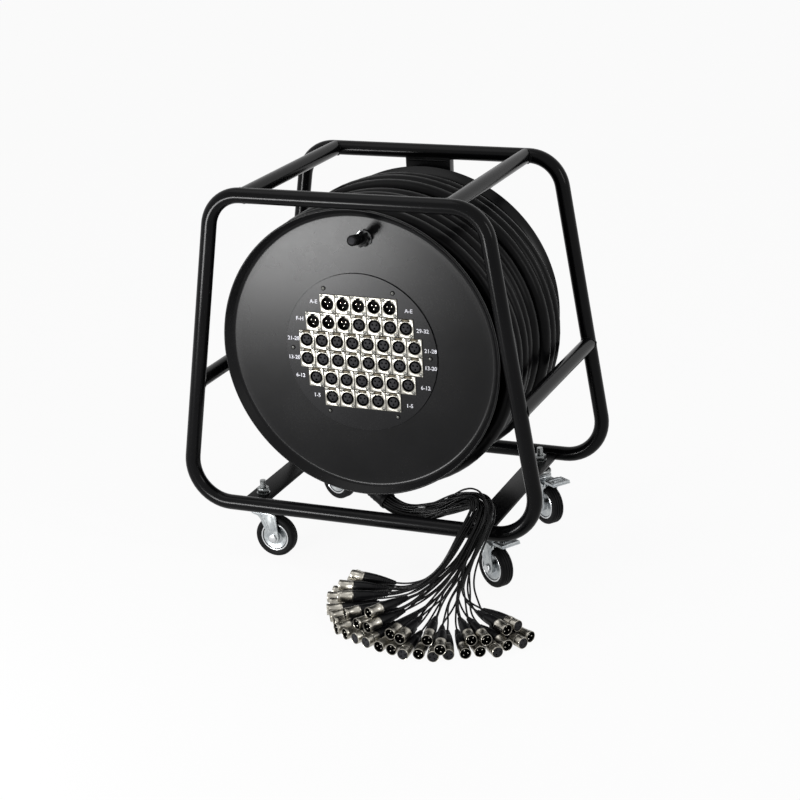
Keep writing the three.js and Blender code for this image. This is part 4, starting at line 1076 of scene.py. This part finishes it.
def tyre_shape():
    grooves = []
    for y in (-4.4, 0, 4.4):
        grooves += [(35, y - 0.75), (34.1, y - 0.45), (34.1, y + 0.45), (35, y + 0.75)]
    wall = [(25, -8.8), (26.4, -9.5), (28.6, -10.2), (30.6, -10.5), (32.4, -10.1), (33.7, -9.1),
            (34.6, -7.6), (35, -6.2)]
    seat = [(24.6, 8.2), (24.6, -8.2), wall[0]]
    return turned([*wall, *grooves, *[(r, -y) for r, y in reversed(wall)], *seat], 72, TYRE_RUBBER)


def hub_shape():
    """A pressed wheel centre: bright rolled edge, a black ring in the crease inside it as painted shade, then
    the disc and its boss.
    """
    edge = [(24.9, -8.3), (24.7, -9.3), (24, -9.8), (23.1, -9.8), (22.4, -9.3), (22.2, -8.3)]
    # Black ring in the crease: painted shade.
    crease = [(22.3, -7.9), (21.2, -7.9)]
    disc = [(21.3, -8.1), (20.8, -8.5), (18.6, -8), (14, -6.6), (10.4, -6.7), (9.2, -7.4), (9, -8.4),
            (9, -12.6), (8.6, -13.2), (4.4, -13.2)]
    return joined(*[turned([*side, *[(r, -y) for r, y in reversed(side)], side[0]], 72, finish)
                    for side, finish in ((edge, STEEL), (crease, BLACK_AND_PAINTED_SHADE), (disc, ZINC))])


def axle_shape():
    return joined(puck(4, -16, 16, 20, STEEL), hex_blank(12.2, -19.6, -16.6, 0, STEEL),
                  hex_blank(12.2, 16.6, 19.4, 0, STEEL),
                  *[puck(6.4, low, low + 0.6, 28, STEEL) for low in (-16.7, 16.1)])


def pedal_shape():
    """The brake pedal: an arm on its pin, and a hollow tread with a raised pad, a slot and a rolled lip."""
    arm = [(24.2, 73.8), (32.5, 72.6), (36.5, 75.5), (42, 80.6), (42, 86.2), (34.5, 86.5), (31, 84),
           (27.5, 79.8), (24.4, 78.2)]
    arm = softened(placed(pressed(arm, 24, ZINC), shifted(0, 12, 0) @ UPRIGHT), 0.9, 3, 30)
    tread = beveled(block((26, 36, 5.4), (13, 0, -2.7), ZINC), 1.5, 4, 80)
    well = softened(block((12, 25, 3), (12.5, 0, 0.6)), 1, 3)
    under, slot = block((23, 32.5, 8), (14, 0, -5.8)), block((2.2, 12, 12), (22.6, 0, 0))
    tread = softened(cut(tread, well, under, slot), 0.3, 2, 60)
    pad = softened(block((7.5, 17, 1), (12.5, 0, -0.7), ZINC), 0.4)
    lip = rod((26.2, -17.2, -4.4), (26.2, 17.2, -4.4), 1, 16, ZINC)
    level = shifted(36, 0, 86.6) @ Matrix.Rotation(radians(-2), 4, "Y")
    tread = placed(joined(tread, pad, lip), level)
    pin = rod((28, -18.2, 76), (28, 18.2, 76), 2.4, 20, ZINC)
    heads = [placed(softened(turned([(0, 0), (3.6, 0), (3.2, 1.2), (0, 1.4)], 20, ZINC), 0.2),
                    shifted(28, side * 17.2, 76) @ facing((0, side, 0))) for side in (-1, 1)]
    return joined(arm, tread, pin, *heads)


def make_castors():
    shapes = {"stem": stem_shape(), "nut": nut_shape(), "tyre": placed(tyre_shape(), TO_WHEEL),
              "hub": placed(hub_shape(), TO_WHEEL), "axle": placed(axle_shape(), TO_WHEEL),
              "pedal": pedal_shape()}
    forks = {braked: fork_shape(braked) for braked in (False, True)}
    for castor, side, end, heading, braked in CASTORS:
        place = shifted(CASTOR_X[side], end * 135, 0) @ Matrix.Rotation(radians(heading), 4, "Z")
        for kind, name, body, slot, node in FITTINGS if braked else FITTINGS[:-1]:
            piece = twin(forks[braked] if kind == "fork" else shapes[kind], place)
            body = body if body == "frame" else f"{body}_{castor}"
            handed_in(piece, f"{name}_{castor}", body, slot, f"{node}_{castor}")
    discard(*shapes.values(), *forks.values())


make_castors()


# -------- solids that stay, and the studio

CARRIED = {"drum_core": DRUM_PAINT, "drum_hub": DRUM_PAINT, "front_bearing": STEEL, "rear_bearing": STEEL,
           "spindle_front_nut": ZINC}


def coat_carried_nodes():
    for name, finish in CARRIED.items():
        for slot in bpy.data.objects[name].material_slots:
            slot.material = finish


def make_floor():
    """Pale paper that keeps the object's shadow and looks nearly white."""
    floor = primitive(bpy.ops.mesh.primitive_plane_add, size=40)
    floor.name = "studio_floor"
    paper = bpy.data.materials.new("studio_paper")
    paper.use_nodes = True
    nodes = Nodes(paper.node_tree)
    shader = nodes.tree.nodes["Principled BSDF"]
    look = {"Base Color": (0.9, 0.9, 0.9, 1), "Roughness": 0.9, "Specular IOR Level": 0.1}
    for socket, value in look.items():
        shader.inputs[socket].default_value = value
    glow = nodes.node("ShaderNodeEmission", {}, {"Strength": 1})
    shares = {0: nodes.seen() * 0.93, 1: Wire(nodes, shader.outputs[0]), 2: glow}
    mix = nodes.node("ShaderNodeMixShader", {}, shares)
    nodes.feed(nodes.tree.nodes["Material Output"].inputs["Surface"], mix)
    coated(floor, paper)


def soft_box(name, place, aim, size, power):
    lamp = primitive(bpy.ops.object.light_add, place, type="AREA")
    lamp.name = name
    lamp.data.shape = "RECTANGLE"
    lamp.data.size, lamp.data.size_y = size
    lamp.data.energy = power
    lamp.rotation_euler = (Vector(place) - Vector(aim)).to_track_quat("Z", "Y").to_euler()
    lamp.visible_camera = False


def light_studio():
    """A white backdrop that lights less than it shows, and three soft boxes."""
    world = bpy.context.scene.world or bpy.data.worlds.new("studio")
    bpy.context.scene.world = world
    world.use_nodes = True
    nodes = Nodes(world.node_tree)
    backdrop = nodes.tree.nodes["Background"]
    backdrop.inputs["Color"].default_value = (1, 1, 1, 1)
    nodes.feed(backdrop.inputs["Strength"], nodes.seen() * 0.6 + 0.4)
    soft_box("front_soft_box", (-0.74, -1.45, 0.21), (-0.08, -0.142, 0.50), (0.44, 0.28), 20)
    soft_box("top_soft_box", (-0.7, -0.5, 2.3), (0, 0, 0.3), (1.3, 1.3), 7)
    soft_box("right_soft_box", (2.1, -0.6, 1.3), (0, 0, 0.3), (0.3, 1), 12)
    bpy.context.scene.view_settings.view_transform = "Standard"


coat_carried_nodes()
make_floor()
light_studio()
